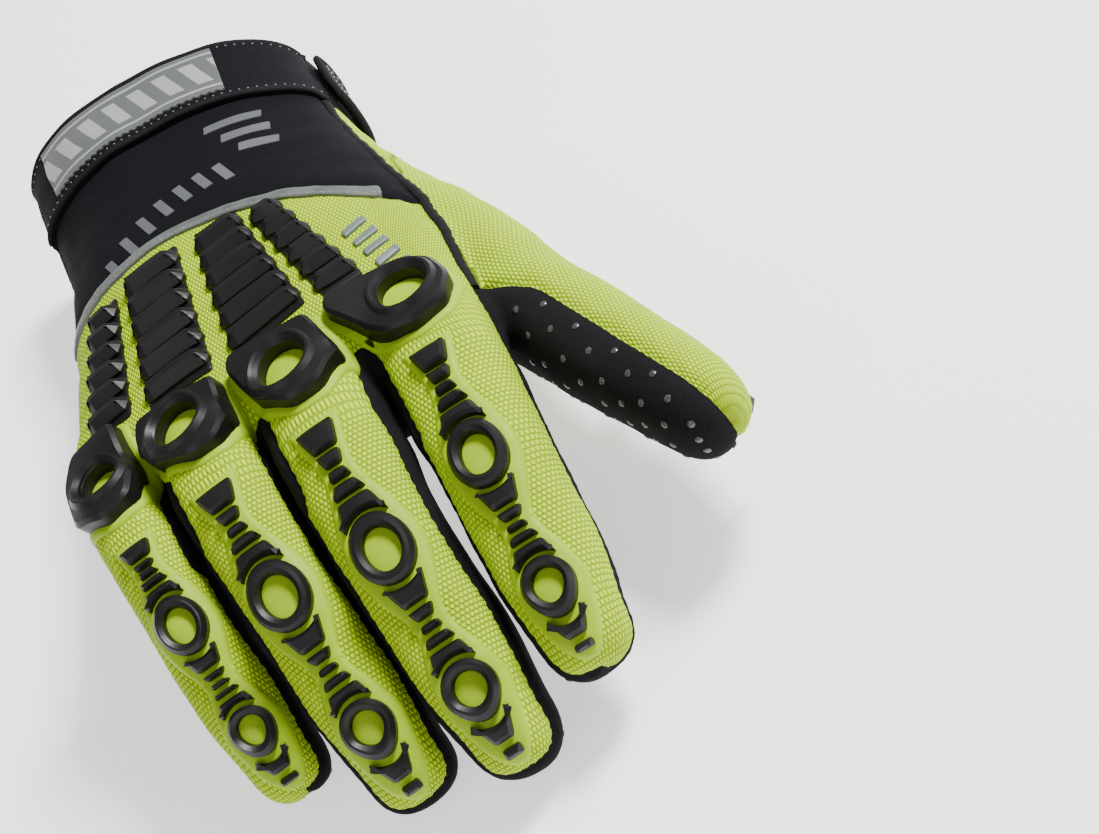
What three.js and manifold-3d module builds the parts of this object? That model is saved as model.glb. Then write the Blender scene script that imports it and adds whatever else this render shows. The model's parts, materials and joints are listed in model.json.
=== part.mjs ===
// Cut and impact resistant work glove for the right hand, back of the hand up.
// Millimetres, +Z up, +Y towards the fingertips, thumb on the -X side. The glove rests on the underside of its
// cuff and on the ring fingertip, and the origin is under the middle of its box, on that surface.
//
// Every soft panel is a thin shell cut out of one lofted hand shape, so the panels meet edge to edge and the
// glove stays hollow: wrist mouth, palm, and one cavity along each finger and the thumb.

import * as THREE from 'three';
import { mergeVertices } from 'three/addons/utils/BufferGeometryUtils.js';
import Module from 'manifold-3d';

const wasm = await Module();
wasm.setup();

// ---------- driving dimensions ----------

const WALL = 1.8;              // thickness of a fabric or leather panel
const TOUCH_GAP = 0.3;         // gap between pieces that are sewn or moulded together
const BACK_PITCH = 4.2;        // degrees that the back of the hand rises towards the knuckles
const FILM = 0.8;              // thin moulded base under each guard
const SEGMENT_HEIGHT = 2.6;    // height of the small finger segments above their base
const RIB_HEIGHT = 3.2;        // height of the ribs on the back of the hand
const KNUCKLE_HEIGHT = 5.2;    // height of the knuckle guards

const PIP_FLEX = 10;           // how far the middle joint of each finger is curled at rest, degrees
const DIP_FLEX = 5;            // the same for the end joint
const HINGE_AFTER_KNUCKLE = 10; // a finger folds this far beyond the middle of its knuckle guard
const HINGE_DEPTH = 13.5;      // hinge line below the fabric on the back of a finger
const FOLD_GAP = 2.4;          // back panels stop this far short of each hinge line

// Sections of the hand and cuff, from the wrist mouth to the knuckles. x is the middle of the section.
const HAND_SECTIONS = [
  { y: -148, x: -1.2, halfWidth: 41, top: -3, bottom: -48.5 },
  { y: -106, x: -2.5, halfWidth: 41, top: -3, bottom: -52.4 },
  { y: -85, x: -4, halfWidth: 42, top: -2.5, bottom: -47 },
  { y: -60, x: -4.5, halfWidth: 45.5, top: -2, bottom: -42 },
  { y: -30, x: -4.5, halfWidth: 49.5, top: -2, bottom: -37 },
  { y: 0, x: -4, halfWidth: 51.5, top: -3, bottom: -32 },
  { y: 12, x: -4, halfWidth: 51, top: -4, bottom: -29.5 },
];
const MOUTH = -138;            // the wrist mouth, on the middle line of the hand
const MOUTH_SLANT = -0.18;     // the mouth and the strap run further back towards the little finger
const CUFF_FRONT = -62;        // where the cuff meets the back panel, on the middle line of the hand
const CUFF_SLANT = -0.32;      // that seam runs further back towards the little finger
const PALM_SEAM = -74;         // where the palm leather meets the cuff
const HAND_SPLIT = -17;        // height of the side seam between back and palm
const CUFF_SPLIT = -28;
const CUFF_SOLE_CUT = 0.8;     // how much is cut off the underside of the cuff to make it flat

// knuckle: middle of the knuckle guard across and along the hand. reach: knuckle to middle joint, on to the end
// joint, and on to the tip. widths and heights: at the knuckle, at each joint, and where the tip starts. rings:
// radii of the rings over the two joints.
const FINGERS = [
  {
    name: 'index', knuckle: [-43.5, 2], flex: 18, splay: 3, reach: [40.5, 30.5, 18],
    widths: [24.5, 23.5, 22], heights: [21, 19.5, 18], rings: [7, 6.2],
  },
  {
    name: 'middle', knuckle: [-13.5, 4], flex: 25, splay: -0.6, reach: [43.5, 33, 19.5],
    widths: [24.5, 23.5, 22], heights: [21, 19.5, 18], rings: [7.5, 6.6],
  },
  {
    name: 'ring', knuckle: [13.3, 0], flex: 29, splay: -2.8, reach: [40, 32, 19.5],
    widths: [24, 23, 21.5], heights: [21, 19.5, 18], rings: [7.4, 6.4],
  },
  {
    name: 'pinky', knuckle: [36.3, -4], flex: 30, splay: -3, reach: [32.5, 25.5, 17],
    widths: [21, 20, 18.5], heights: [20, 18, 16.5], rings: [6, 5.4],
  },
];
const MCP_CURL = 80;           // how far each joint can curl from straight, degrees: sets the palm side gaps
const PIP_CURL = 90;
const DIP_CURL = 60;
const FINGER_SPLIT = 0.62;     // share of a finger's height that its palm and side panel covers
const TIP_TAPER = 0.94;        // width and height at the end of a fingertip, over those where the tip starts
const TIP_ROUNDING = 9;        // length of the rounded end of a finger

// The thumb is rolled on its side, so its back faces away from the fingers and a little down. swingBelow: how far
// its base hinge lies under its middle line.
const THUMB = {
  hinge: [-64.5, 3.5, -29], yaw: 20.5, droop: 3, roll: 108, reach: [33.5, 33],
  widths: [26, 25, 22.5], heights: [23.5, 22, 19], curl: 50, swingBelow: 10, ringRadius: 6.6,
};
const THUMB_ROOT = [
  { y: -75, x: -37, halfWidth: 9, top: -17, bottom: -37 },
  { y: -50, x: -46.5, halfWidth: 12.5, top: -15.5, bottom: -43 },
  { y: -25, x: -56.5, halfWidth: 12.5, top: -16, bottom: -43 },
  { y: -1, x: -65, halfWidth: 11.8, top: -16.5, bottom: -42 },
];

const STRAP = { from: 2, to: 28, thickness: 2, reach: -20 };   // from and to are measured from the mouth
const LABEL = { from: 5, to: 25, left: -25, right: 27, thickness: 0.6 };
const TAB = { length: 24, nose: 9, thickness: 2.2, slit: 0.4 };
const PIPING_WIDTH = 3.2;
const PIPING_HEIGHT = 1.2;

const BEVEL = 0.7;             // on the upper edges of every moulded guard
const GUARD_SINK = 0.2;        // raised pieces start this far inside their film
const RING_HOLE = 0.56;        // hole of a finger ring, over its outer radius
const RING_EXTRA_HEIGHT = 0.8; // rings stand this much above the segments
const FILM_EDGE = 1.2;         // film that shows round the raised pieces of a finger guard
const WAIST = 0.72;            // narrowest width of a finger guard between two joints, over its ends
const SEGMENT_SHARE = 0.8;     // length of a segment over the pitch of the row
const GUARD_START = 4.5;       // a finger's first guard starts this far beyond the hinge line
const AFTER_RING = 2.4;        // the next guards start this far beyond the ring
const GUARD_BEFORE_TIP = 3.5;  // the last guard stops this far short of the tip, and the thumb's further
const THUMB_GUARD_BEFORE_TIP = 6;

const SECTION_SIDES = 24;
const FINGER_SIDES = 16;
const SECTION_POWER = 2.5;     // 2 is an ellipse; more is squarer
const FAR = 400;               // larger than the glove

// ---------- materials ----------

const material = (color, roughness) => new THREE.MeshStandardMaterial({ color, roughness, metalness: 0 });
const LIME = material(0xc3e04a, 0.85);
const SUEDE = material(0x1c1c1f, 0.9);
const NEOPRENE = material(0x15161a, 0.8);
const RUBBER = material(0x202020, 0.6);
const REFLECTIVE = material(0x8d8f8c, 0.45);
const WOVEN = material(0x6f7470, 0.75);

// ---------- solids ----------

const radians = THREE.MathUtils.degToRad;
const lerp = THREE.MathUtils.lerp;

function toSolid(geometry) {
  const bare = geometry.clone();
  bare.deleteAttribute('normal');
  bare.deleteAttribute('uv');
  const merged = mergeVertices(bare, 1e-3);
  return new wasm.Manifold(new wasm.Mesh({
    numProp: 3,
    vertProperties: new Float32Array(merged.attributes.position.array),
    triVerts: new Uint32Array(merged.index.array),
  }));
}

function toGeometry(solid) {
  const mesh = solid.getMesh();
  const geometry = new THREE.BufferGeometry();
  geometry.setAttribute('position', new THREE.BufferAttribute(mesh.vertProperties, 3));
  geometry.setIndex(new THREE.BufferAttribute(mesh.triVerts, 1));
  geometry.computeVertexNormals();
  return geometry;
}

function box(x0, x1, y0, y1, z0, z1) {
  const geometry = new THREE.BoxGeometry(x1 - x0, y1 - y0, z1 - z0);
  geometry.translate((x0 + x1) / 2, (y0 + y1) / 2, (z0 + z1) / 2);
  return toSolid(geometry);
}

// One ring of points round a section. lean moves points below foldLine along Y, in proportion to their depth,
// which slopes the end of a finger part so that it clears its neighbour when the finger curls.
function sectionRing(section, sides) {
  const middle = (section.top + section.bottom) / 2;
  const halfHeight = (section.top - section.bottom) / 2;
  const squared = (value) => Math.sign(value) * Math.abs(value) ** (2 / SECTION_POWER);
  const ring = [];
  for (let i = 0; i < sides; i += 1) {
    const angle = ((i + 0.5) / sides) * 2 * Math.PI;
    const z = middle + halfHeight * squared(Math.sin(angle));
    const lean = (section.lean ?? 0) * Math.max(0, (section.foldLine ?? 0) - z);
    const x = section.x + section.halfWidth * squared(Math.cos(angle));
    ring.push(new THREE.Vector3(x, section.y + lean, z));
  }
  return ring;
}

// A closed solid through a list of sections, which run along +Y.
function loft(sections, sides) {
  const rings = sections.map((section) => sectionRing(section, sides));
  const positions = [];
  const index = [];
  const push = (point) => positions.push(point.x, point.y, point.z);
  rings.forEach((ring) => ring.forEach(push));
  for (let r = 0; r + 1 < rings.length; r += 1) {
    for (let i = 0; i < sides; i += 1) {
      const a = r * sides + i;
      const b = r * sides + ((i + 1) % sides);
      index.push(a, b + sides, b, a, a + sides, b + sides);
    }
  }
  [rings[0], rings.at(-1)].forEach((ring, end) => {
    const centre = new THREE.Vector3();
    ring.forEach((point) => centre.addScaledVector(point, 1 / sides));
    const hub = positions.length / 3;
    push(centre);
    const first = end === 0 ? 0 : (rings.length - 1) * sides;
    for (let i = 0; i < sides; i += 1) {
      const next = (i + 1) % sides;
      index.push(hub, first + (end === 0 ? i : next), first + (end === 0 ? next : i));
    }
  });
  const geometry = new THREE.BufferGeometry();
  geometry.setAttribute('position', new THREE.Float32BufferAttribute(positions, 3));
  geometry.setIndex(index);
  return toSolid(geometry);
}

// The same sections made larger or smaller all round by offset.
const grow = (sections, offset) => sections.map((section) => ({
  ...section,
  halfWidth: section.halfWidth + offset,
  top: section.top + offset,
  bottom: section.bottom - offset,
}));

// The same sections with both ends run on, so that a cut passes right through.
function runOn(sections, extra) {
  const longer = sections.map((section) => ({ ...section }));
  longer[0].y -= extra;
  longer.at(-1).y += extra;
  return longer;
}

function sectionAt(sections, y) {
  const last = sections.length - 2;
  const k = THREE.MathUtils.clamp(sections.findIndex((section) => section.y > y) - 1, 0, last);
  const t = (y - sections[k].y) / (sections[k + 1].y - sections[k].y);
  const blend = (key) => lerp(sections[k][key], sections[k + 1][key], t);
  return { y, x: blend('x'), halfWidth: blend('halfWidth'), top: blend('top'), bottom: blend('bottom') };
}

// Height of the back of the hand at a place.
function backHeight(x, y) {
  const section = sectionAt(HAND_SECTIONS, y);
  const across = Math.min(Math.abs(x - section.x) / section.halfWidth, 1);
  const halfHeight = (section.top - section.bottom) / 2;
  return section.bottom + halfHeight * (1 + (1 - across ** SECTION_POWER) ** (1 / SECTION_POWER));
}

// A placement that lies flat on the back of the hand at a place, raised by lift.
function onBack(x, y, lift) {
  const step = 1;
  const slopeX = (backHeight(x + step, y) - backHeight(x - step, y)) / (2 * step);
  const slopeY = (backHeight(x, y + step) - backHeight(x, y - step)) / (2 * step);
  const normal = new THREE.Vector3(-slopeX, -slopeY, 1).normalize();
  const along = new THREE.Vector3(0, 1, slopeY).normalize();
  const across = new THREE.Vector3().crossVectors(along, normal).normalize();
  along.crossVectors(normal, across);
  const matrix = new THREE.Matrix4().makeBasis(across, along, normal);
  matrix.setPosition(new THREE.Vector3(x, y, backHeight(x, y)).addScaledVector(normal, lift));
  return matrix;
}

// ---------- moulded guards ----------

function polygon(points) {
  return new THREE.Shape(points.map(([x, y]) => new THREE.Vector2(x, y)));
}

function circle(radius) {
  const shape = new THREE.Path();
  shape.absarc(0, 0, radius, 0, 2 * Math.PI, true);
  return shape;
}

// A raised piece with bevelled edges, standing on z = FILM and sunk a little into the film.
function raised(shape, height, { x = 0, y = 0 } = {}) {
  const geometry = new THREE.ExtrudeGeometry(shape, {
    depth: height - BEVEL + GUARD_SINK,
    bevelEnabled: true,
    bevelThickness: BEVEL,
    bevelSize: BEVEL,
    bevelOffset: -BEVEL,
    bevelSegments: 1,
    curveSegments: 6,
  });
  geometry.translate(x, y, FILM - GUARD_SINK);
  return toSolid(geometry).subtract(box(-FAR, FAR, -FAR, FAR, -FAR, FILM - GUARD_SINK));
}

function film(shape) {
  return toSolid(new THREE.ExtrudeGeometry(shape, { depth: FILM, bevelEnabled: false, curveSegments: 4 }));
}

// A segment between two rings: wider at one end, and narrower by the taper at the other.
function segmentShape(width, length, taper) {
  const wide = width / 2;
  const narrow = wide * (1 - taper);
  const half = length / 2;
  return polygon([[-wide, -half], [wide, -half], [narrow, half], [-narrow, half]]);
}

function ringSolid(radius, y) {
  const shape = new THREE.Shape(circle(radius).getPoints(6));
  shape.holes.push(new THREE.Path(circle(radius * RING_HOLE).getPoints(5).reverse()));
  return raised(shape, SEGMENT_HEIGHT + RING_EXTRA_HEIGHT, { y });
}

// The guard of one finger part: a film from y0 to y1, a ring over the next joint if there is one, and a row
// of segments that is narrowest in its middle.
function fingerGuard({ from, to, ringAt, ringRadius, startWidth, endWidth, segments }) {
  const end = ringAt === undefined ? to : ringAt + ringRadius + FILM_EDGE;
  const wideStart = startWidth / 2 + FILM_EDGE;
  const wideEnd = (ringAt === undefined ? endWidth / 2 : ringRadius) + FILM_EDGE;
  const waist = Math.min(wideStart, wideEnd) * WAIST;
  const mid = (from + (ringAt ?? to)) / 2;
  const nose = ringAt === undefined ? 0.5 : 0.7;
  const outline = [
    [-wideStart, from], [wideStart, from], [waist, mid], [wideEnd, (ringAt ?? to) - wideEnd * 0.4],
    [wideEnd * nose, end], [-wideEnd * nose, end], [-wideEnd, (ringAt ?? to) - wideEnd * 0.4], [-waist, mid],
  ];
  let solid = film(polygon(outline));
  const last = ringAt === undefined ? to - 1 : ringAt - ringRadius - 0.8;
  const first = from + 0.8;
  const pitch = (last - first) / segments;
  for (let i = 0; i < segments; i += 1) {
    const t = segments === 1 ? 0.5 : i / (segments - 1);
    const width = lerp(startWidth, endWidth, t) * (0.55 + 0.45 * Math.abs(2 * t - 1));
    const shape = segmentShape(width, pitch * SEGMENT_SHARE, t < 0.5 ? 0.25 : -0.25);
    solid = solid.add(raised(shape, SEGMENT_HEIGHT, { y: first + (i + 0.5) * pitch }));
  }
  if (ringAt !== undefined) {
    solid = solid.add(ringSolid(ringRadius, ringAt));
  }
  return solid;
}

// A knuckle guard: a faceted outline round a round hole, on a film that the hole shows.
function knuckleGuard(outline, holeRadius) {
  const shape = polygon(outline);
  shape.holes.push(new THREE.Path(circle(holeRadius).getPoints(6).reverse()));
  return film(polygon(outline)).add(raised(shape, KNUCKLE_HEIGHT));
}

// A column of ribs: bars with pointed ends across a film that widens towards the knuckle.
function ribPad({ narrow, wide, length, lean, ribs }) {
  const edge = 0.8;
  const half = length / 2;
  const at = (t) => ({ y: lerp(-half, half, t), width: lerp(narrow, wide, t), shift: lerp(-lean, lean, t) });
  const start = at(0);
  const end = at(1);
  const left = ({ y, width, shift }) => [shift - width / 2 - edge, y];
  const right = ({ y, width, shift }) => [shift + width / 2 + edge, y];
  let solid = film(polygon([left(start), right(start), right(end), left(end)]));
  const pitch = length / ribs;
  for (let i = 0; i < ribs; i += 1) {
    const { y, width, shift } = at((i + 0.5) / ribs);
    const tip = width / 2;
    const depth = (pitch - 1.2) / 2;
    const shoulder = depth * 0.4;
    const bar = polygon([
      [-tip + depth, -depth], [tip - shoulder, -depth], [tip, 0],
      [tip - depth, depth], [-tip + shoulder, depth], [-tip, 0],
    ]);
    solid = solid.add(raised(bar, RIB_HEIGHT, { x: shift, y }));
  }
  return solid;
}

// ---------- the hand ----------

const handOuter = loft(HAND_SECTIONS, SECTION_SIDES);
const handInner = loft(runOn(grow(HAND_SECTIONS, -WALL), 4), SECTION_SIDES);
const handSpace = loft(grow(HAND_SECTIONS, TOUCH_GAP), SECTION_SIDES);
const handShell = handOuter.subtract(handInner);

const thumbRootSpace = loft(grow(THUMB_ROOT, TOUCH_GAP), FINGER_SIDES);
const thumbRootInner = loft(runOn(grow(THUMB_ROOT, -WALL), 2), FINGER_SIDES);

// Everything ahead of a slanted line across the hand, which passes the middle line of the hand at y.
function aheadOf(y, slant) {
  const geometry = new THREE.BoxGeometry(FAR, FAR, FAR);
  geometry.translate(0, FAR / 2, 0);
  geometry.rotateZ(Math.atan(slant));
  geometry.translate(0, y, 0);
  return toSolid(geometry);
}

// Everything ahead of the seam between cuff and back panel, and ahead of a line along the wrist mouth, moved
// along Y by shift.
const aheadOfCuffSeam = (shift) => aheadOf(CUFF_FRONT + shift, CUFF_SLANT);
const aheadOfMouth = (shift) => aheadOf(MOUTH + shift, MOUTH_SLANT);

// The space that the fingers take up ahead of the hand: in the lane of each finger it starts a little behind
// the finger's hinge line, and slopes back below it so that the finger can curl.
function fingerSpace() {
  const halfway = (finger, i) => (FINGERS[i].knuckle[0] + finger.knuckle[0]) / 2;
  const edges = [-FAR, ...FINGERS.slice(1).map(halfway), FAR];
  const slant = -radians(MCP_CURL * 0.35);
  return FINGERS.map((finger, i) => {
    const y = finger.knuckle[1] + HINGE_AFTER_KNUCKLE - FOLD_GAP + TOUCH_GAP;
    const upper = box(edges[i], edges[i + 1], y, FAR, -FAR, FAR);
    const slope = new THREE.BoxGeometry(edges[i + 1] - edges[i], FAR, FAR);
    slope.translate((edges[i] + edges[i + 1]) / 2, FAR / 2, 0);
    slope.rotateX(slant);
    slope.translate(0, y, HAND_SPLIT);
    return upper.add(toSolid(slope).subtract(above(HAND_SPLIT)));
  }).reduce((sum, part) => sum.add(part));
}

const largest = (solid) => solid.decompose().sort((a, b) => b.volume() - a.volume())[0];
const above = (z) => box(-FAR, FAR, -FAR, FAR, z, FAR);
const between = (y0, y1) => box(-FAR, FAR, y0, y1, -FAR, FAR);

function backPanel() {
  return handShell
    .intersect(above(HAND_SPLIT + TOUCH_GAP / 2))
    .intersect(aheadOfCuffSeam(TOUCH_GAP / 2))
    .subtract(fingerSpace())
    .subtract(thumbRootInner);
}

function cuffBack() {
  return handShell
    .intersect(above(CUFF_SPLIT + TOUCH_GAP / 2))
    .intersect(aheadOfMouth(0))
    .subtract(aheadOfCuffSeam(-TOUCH_GAP / 2))
    .subtract(box(-FAR, FAR, PALM_SEAM - TOUCH_GAP / 2, FAR, -FAR, HAND_SPLIT + TOUCH_GAP / 2))
    .subtract(thumbRootSpace);
}

// The cuff's underside is cut level, so that the glove lies flat on it.
function cuffPalm() {
  const lowest = HAND_SECTIONS[1];
  const ground = new THREE.BoxGeometry(FAR, FAR, FAR);
  ground.translate(0, 0, CUFF_SOLE_CUT - FAR / 2);
  ground.rotateX(-radians(BACK_PITCH));
  ground.translate(0, lowest.y, lowest.bottom);
  return handShell
    .intersect(aheadOfMouth(0))
    .subtract(above(CUFF_SPLIT - TOUCH_GAP / 2))
    .subtract(between(PALM_SEAM - TOUCH_GAP / 2, FAR))
    .subtract(toSolid(ground));
}

function palmPanel() {
  return largest(handShell
    .subtract(above(HAND_SPLIT - TOUCH_GAP / 2))
    .intersect(between(PALM_SEAM + TOUCH_GAP / 2, FAR))
    .subtract(fingerSpace())
    .subtract(thumbRootInner));
}

function thumbRoot() {
  return loft(THUMB_ROOT, FINGER_SIDES)
    .subtract(thumbRootInner)
    .subtract(handSpace);
}

// A layer that lies on the back of the hand between two offsets from its surface.
function layer(under, over) {
  const core = loft(runOn(grow(HAND_SECTIONS, under), 4), SECTION_SIDES);
  return loft(grow(HAND_SECTIONS, over), SECTION_SIDES).subtract(core);
}

function wristStrap() {
  return layer(TOUCH_GAP, TOUCH_GAP + STRAP.thickness)
    .intersect(aheadOfMouth(STRAP.from))
    .subtract(aheadOfMouth(STRAP.to))
    .intersect(above(STRAP.reach));
}

function strapLabel() {
  const under = 2 * TOUCH_GAP + STRAP.thickness;
  return layer(under, under + LABEL.thickness)
    .intersect(aheadOfMouth(LABEL.from))
    .subtract(aheadOfMouth(LABEL.to))
    .intersect(box(LABEL.left, LABEL.right, -FAR, FAR, STRAP.reach, FAR));
}

function piping() {
  return layer(TOUCH_GAP, TOUCH_GAP + PIPING_HEIGHT)
    .intersect(aheadOfCuffSeam(-PIPING_WIDTH / 2))
    .subtract(aheadOfCuffSeam(PIPING_WIDTH / 2))
    .intersect(above(HAND_SPLIT + 3));
}

// ---------- fingers ----------

// The shell of one finger part, split into its back panel and its palm and side panel.
// Local frame: Y along the part from its hinge line, z = 0 on the hinge line, the back above it.
function fingerShell({ start, end, closed, curlStart, curlEnd, sectionFor }) {
  const leanOf = (curl) => Math.tan(radians(curl / 2));
  const sections = [
    { ...sectionFor(start), y: start, lean: leanOf(curlStart), foldLine: 0 },
  ];
  const inner = [{ ...grow([sectionFor(start)], -WALL)[0], y: start - 1, lean: leanOf(curlStart), foldLine: 0 }];
  if (closed) {
    for (const turn of [0, 35, 60, 80]) {
      const shrink = Math.cos(radians(turn));
      const forward = Math.sin(radians(turn));
      const full = sectionFor(end - TIP_ROUNDING);
      const middle = (full.top + full.bottom) / 2;
      const scaled = (wall) => ({
        ...full,
        halfWidth: (full.halfWidth - wall) * shrink,
        top: middle + (full.top - wall - middle) * shrink,
        bottom: middle + (full.bottom + wall - middle) * shrink,
        y: end - TIP_ROUNDING + (TIP_ROUNDING - wall) * forward,
      });
      sections.push(scaled(0));
      inner.push(scaled(WALL));
    }
  } else {
    sections.push({ ...sectionFor(end), y: end, lean: -leanOf(curlEnd), foldLine: 0 });
    inner.push({ ...grow([sectionFor(end)], -WALL)[0], y: end + 1, lean: -leanOf(curlEnd), foldLine: 0 });
  }
  const shell = loft(sections, FINGER_SIDES).subtract(loft(inner, FINGER_SIDES));
  const reference = sectionFor(start);
  const split = lerp(reference.bottom, reference.top, FINGER_SPLIT);
  return {
    back: shell.intersect(above(split + TOUCH_GAP / 2)),
    palm: shell.subtract(above(split - TOUCH_GAP / 2)),
  };
}

function addMesh(parent, name, solid, finish) {
  const mesh = new THREE.Mesh(toGeometry(solid), finish);
  mesh.name = name;
  parent.add(mesh);
  return mesh;
}

// A hinge frame inside parent, at a place, turned down by flex degrees about X.
function hinge(parent, name, position, flex) {
  const frame = new THREE.Group();
  frame.name = name;
  frame.position.set(...position);
  frame.rotation.x = -radians(flex);
  parent.add(frame);
  return frame;
}

function addGuard(parent, name, options, top) {
  const solid = fingerGuard(options).translate([0, 0, top + TOUCH_GAP]);
  addMesh(parent, name, solid, RUBBER);
}

function addFinger(hand, finger) {
  const { name, knuckle, flex, splay, reach, widths, heights, rings } = finger;
  const base = new THREE.Group();
  base.position.set(knuckle[0], knuckle[1], backHeight(...knuckle));
  base.rotation.z = -radians(splay);
  hand.add(base);
  const lengths = [reach[0] - HINGE_AFTER_KNUCKLE, reach[1], reach[2]];
  const curls = [MCP_CURL, PIP_CURL, DIP_CURL, 0];
  const ends = [...widths.slice(1), widths[2] * TIP_TAPER];
  const endHeights = [...heights.slice(1), heights[2] * TIP_TAPER];
  const rests = [flex, PIP_FLEX, DIP_FLEX];
  let frame = hinge(base, `${name}_mcp`, [0, HINGE_AFTER_KNUCKLE, -HINGE_DEPTH], rests[0]);
  lengths.forEach((length, part) => {
    const closed = part === 2;
    const sectionFor = (y) => {
      const t = y / length;
      const height = lerp(heights[part], endHeights[part], t);
      const halfWidth = lerp(widths[part], ends[part], t) / 2;
      return { y, x: 0, halfWidth, top: HINGE_DEPTH, bottom: HINGE_DEPTH - height };
    };
    const startGap = FOLD_GAP + (part === 0 ? 0.4 : 0);
    const shells = fingerShell({
      start: startGap,
      end: closed ? length : length - 0.6,
      closed,
      curlStart: curls[part],
      curlEnd: curls[part + 1],
      sectionFor,
    });
    addMesh(frame, `${name}_${part + 1}_back`, shells.back, LIME);
    addMesh(frame, `${name}_${part + 1}_palm`, shells.palm, SUEDE);
    addGuard(frame, `${name}_${part + 1}_guard`, {
      from: part === 0 ? GUARD_START : rings[part - 1] + AFTER_RING,
      to: closed ? length - GUARD_BEFORE_TIP : length,
      ringAt: closed ? undefined : length,
      ringRadius: rings[part],
      startWidth: rings[Math.max(part - 1, 0)] * (part === 0 ? 1.8 : 1.5),
      endWidth: closed ? rings[1] * 0.7 : rings[part] * 1.4,
      segments: [4, 5, 2][part],
    }, HINGE_DEPTH);
    if (!closed) {
      frame = hinge(frame, `${name}_${part === 0 ? 'pip' : 'dip'}`, [0, length, 0], rests[part + 1]);
    }
  });
}

function addThumb(hand) {
  const { reach, widths, heights, curl, ringRadius } = THUMB;
  const base = new THREE.Group();
  base.position.set(...THUMB.hinge);
  base.rotation.order = 'ZXY';
  base.rotation.set(-radians(THUMB.droop), -radians(THUMB.roll), radians(THUMB.yaw));
  hand.add(base);
  const swing = hinge(base, 'thumb_base', [-THUMB.swingBelow, 0, 0], 0);
  let frame = new THREE.Group();
  frame.position.x = THUMB.swingBelow;
  swing.add(frame);
  reach.forEach((length, part) => {
    const closed = part === 1;
    const top = heights[0] / 2;
    const sectionFor = (y) => ({
      y,
      x: 0,
      halfWidth: lerp(widths[part], widths[part + 1], y / length) / 2,
      top,
      bottom: top - lerp(heights[part], heights[part + 1], y / length),
    });
    const shells = fingerShell({
      start: FOLD_GAP,
      end: closed ? length : length - 0.6,
      closed,
      curlStart: part === 0 ? 0 : curl,
      curlEnd: curl,
      sectionFor,
    });
    addMesh(frame, `thumb_${part + 1}_back`, shells.back, LIME);
    addMesh(frame, `thumb_${part + 1}_palm`, shells.palm, SUEDE);
    addGuard(frame, `thumb_${part + 1}_guard`, {
      from: closed ? ringRadius + AFTER_RING : GUARD_START,
      to: closed ? length - THUMB_GUARD_BEFORE_TIP : length,
      ringAt: closed ? undefined : length,
      ringRadius,
      startWidth: ringRadius * 1.6,
      endWidth: closed ? ringRadius * 0.9 : ringRadius * 1.4,
      segments: closed ? 2 : 4,
    }, top);
    if (!closed) {
      frame = hinge(frame, 'thumb_ip', [0, length, 0], 0);
    }
  });
}

// ---------- closure tab ----------

// The rounded free end of the wrist strap, held down by hook and loop on the thumb side of the cuff. It lies
// round the cuff and peels away about the outer line of its upper edge.
function addStrapTab(hand) {
  const radius = (STRAP.to - STRAP.from) / 2 - 1;
  const edge = sectionAt(HAND_SECTIONS, MOUTH);
  const y = MOUTH + MOUTH_SLANT * (edge.x - edge.halfWidth) + (STRAP.from + STRAP.to) / 2;
  const top = STRAP.reach - TAB.slit;
  const section = sectionAt(HAND_SECTIONS, y);
  const outline = new THREE.Shape();
  outline.moveTo(y - radius, top);
  outline.lineTo(y - radius, top - TAB.length + TAB.nose);
  outline.ellipse(radius, 0, radius, TAB.nose, Math.PI, 2 * Math.PI, false);
  outline.lineTo(y + radius, top);
  const cutter = new THREE.ExtrudeGeometry(outline, { depth: FAR, bevelEnabled: false, curveSegments: 6 });
  const sideways = new THREE.Matrix4().makeBasis(
    new THREE.Vector3(0, 1, 0),
    new THREE.Vector3(0, 0, 1),
    new THREE.Vector3(1, 0, 0),
  );
  sideways.setPosition(section.x - FAR, 0, 0);
  cutter.applyMatrix4(sideways);
  const tab = layer(TOUCH_GAP, TOUCH_GAP + TAB.thickness).intersect(toSolid(cutter));
  const side = section.x - section.halfWidth - TOUCH_GAP - TAB.thickness;
  const frame = hinge(hand, 'strap_tab_peel', [side, y, top], 0);
  addMesh(frame, 'strap_tab', tab.translate([-side, -y, -top]), NEOPRENE);
}

// ---------- assembly ----------

// Outlines of the knuckle guards about the middle of their holes, corners in order.
const KNUCKLE_OUTLINES = {
  index: [[16, -9.5], [17.5, -4.5], [7, 10], [0, 12], [-7.5, 9.5], [-10.5, 2], [-8, -6], [-1, -9.5]],
  middle: [[-9.5, -10], [11, -12.5], [12.5, -8], [8, 5], [1.5, 12], [-6, 11.5], [-12.5, 3]],
  ring: [[-12.5, -6.5], [9, -10], [11, -5], [8.5, 5], [-1, 11.6], [-7, 10.8], [-11.5, 4]],
  pinky: [[-8.5, -13], [4.5, -14.5], [9, -7], [8.5, 7], [1, 12.5], [-6.5, 10], [-9, 0]],
};
const KNUCKLE_HOLES = { index: 5.6, middle: 6, ring: 5.8, pinky: 4.8 };
const RIB_PADS = {
  index: { place: [-26.8, -31], narrow: 7.5, wide: 11.5, length: 38, lean: -3.8, ribs: 6 },
  middle: { place: [-11.2, -31], narrow: 11.5, wide: 20.5, length: 41, lean: -1, ribs: 6 },
  ring: { place: [9, -34], narrow: 15, wide: 19, length: 41, lean: 2, ribs: 6 },
  pinky: { place: [28, -42], narrow: 9, wide: 13, length: 40, lean: 3, ribs: 6 },
};

const glove = new THREE.Group();
const hand = new THREE.Group();
hand.rotation.x = radians(BACK_PITCH);
glove.add(hand);

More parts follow.
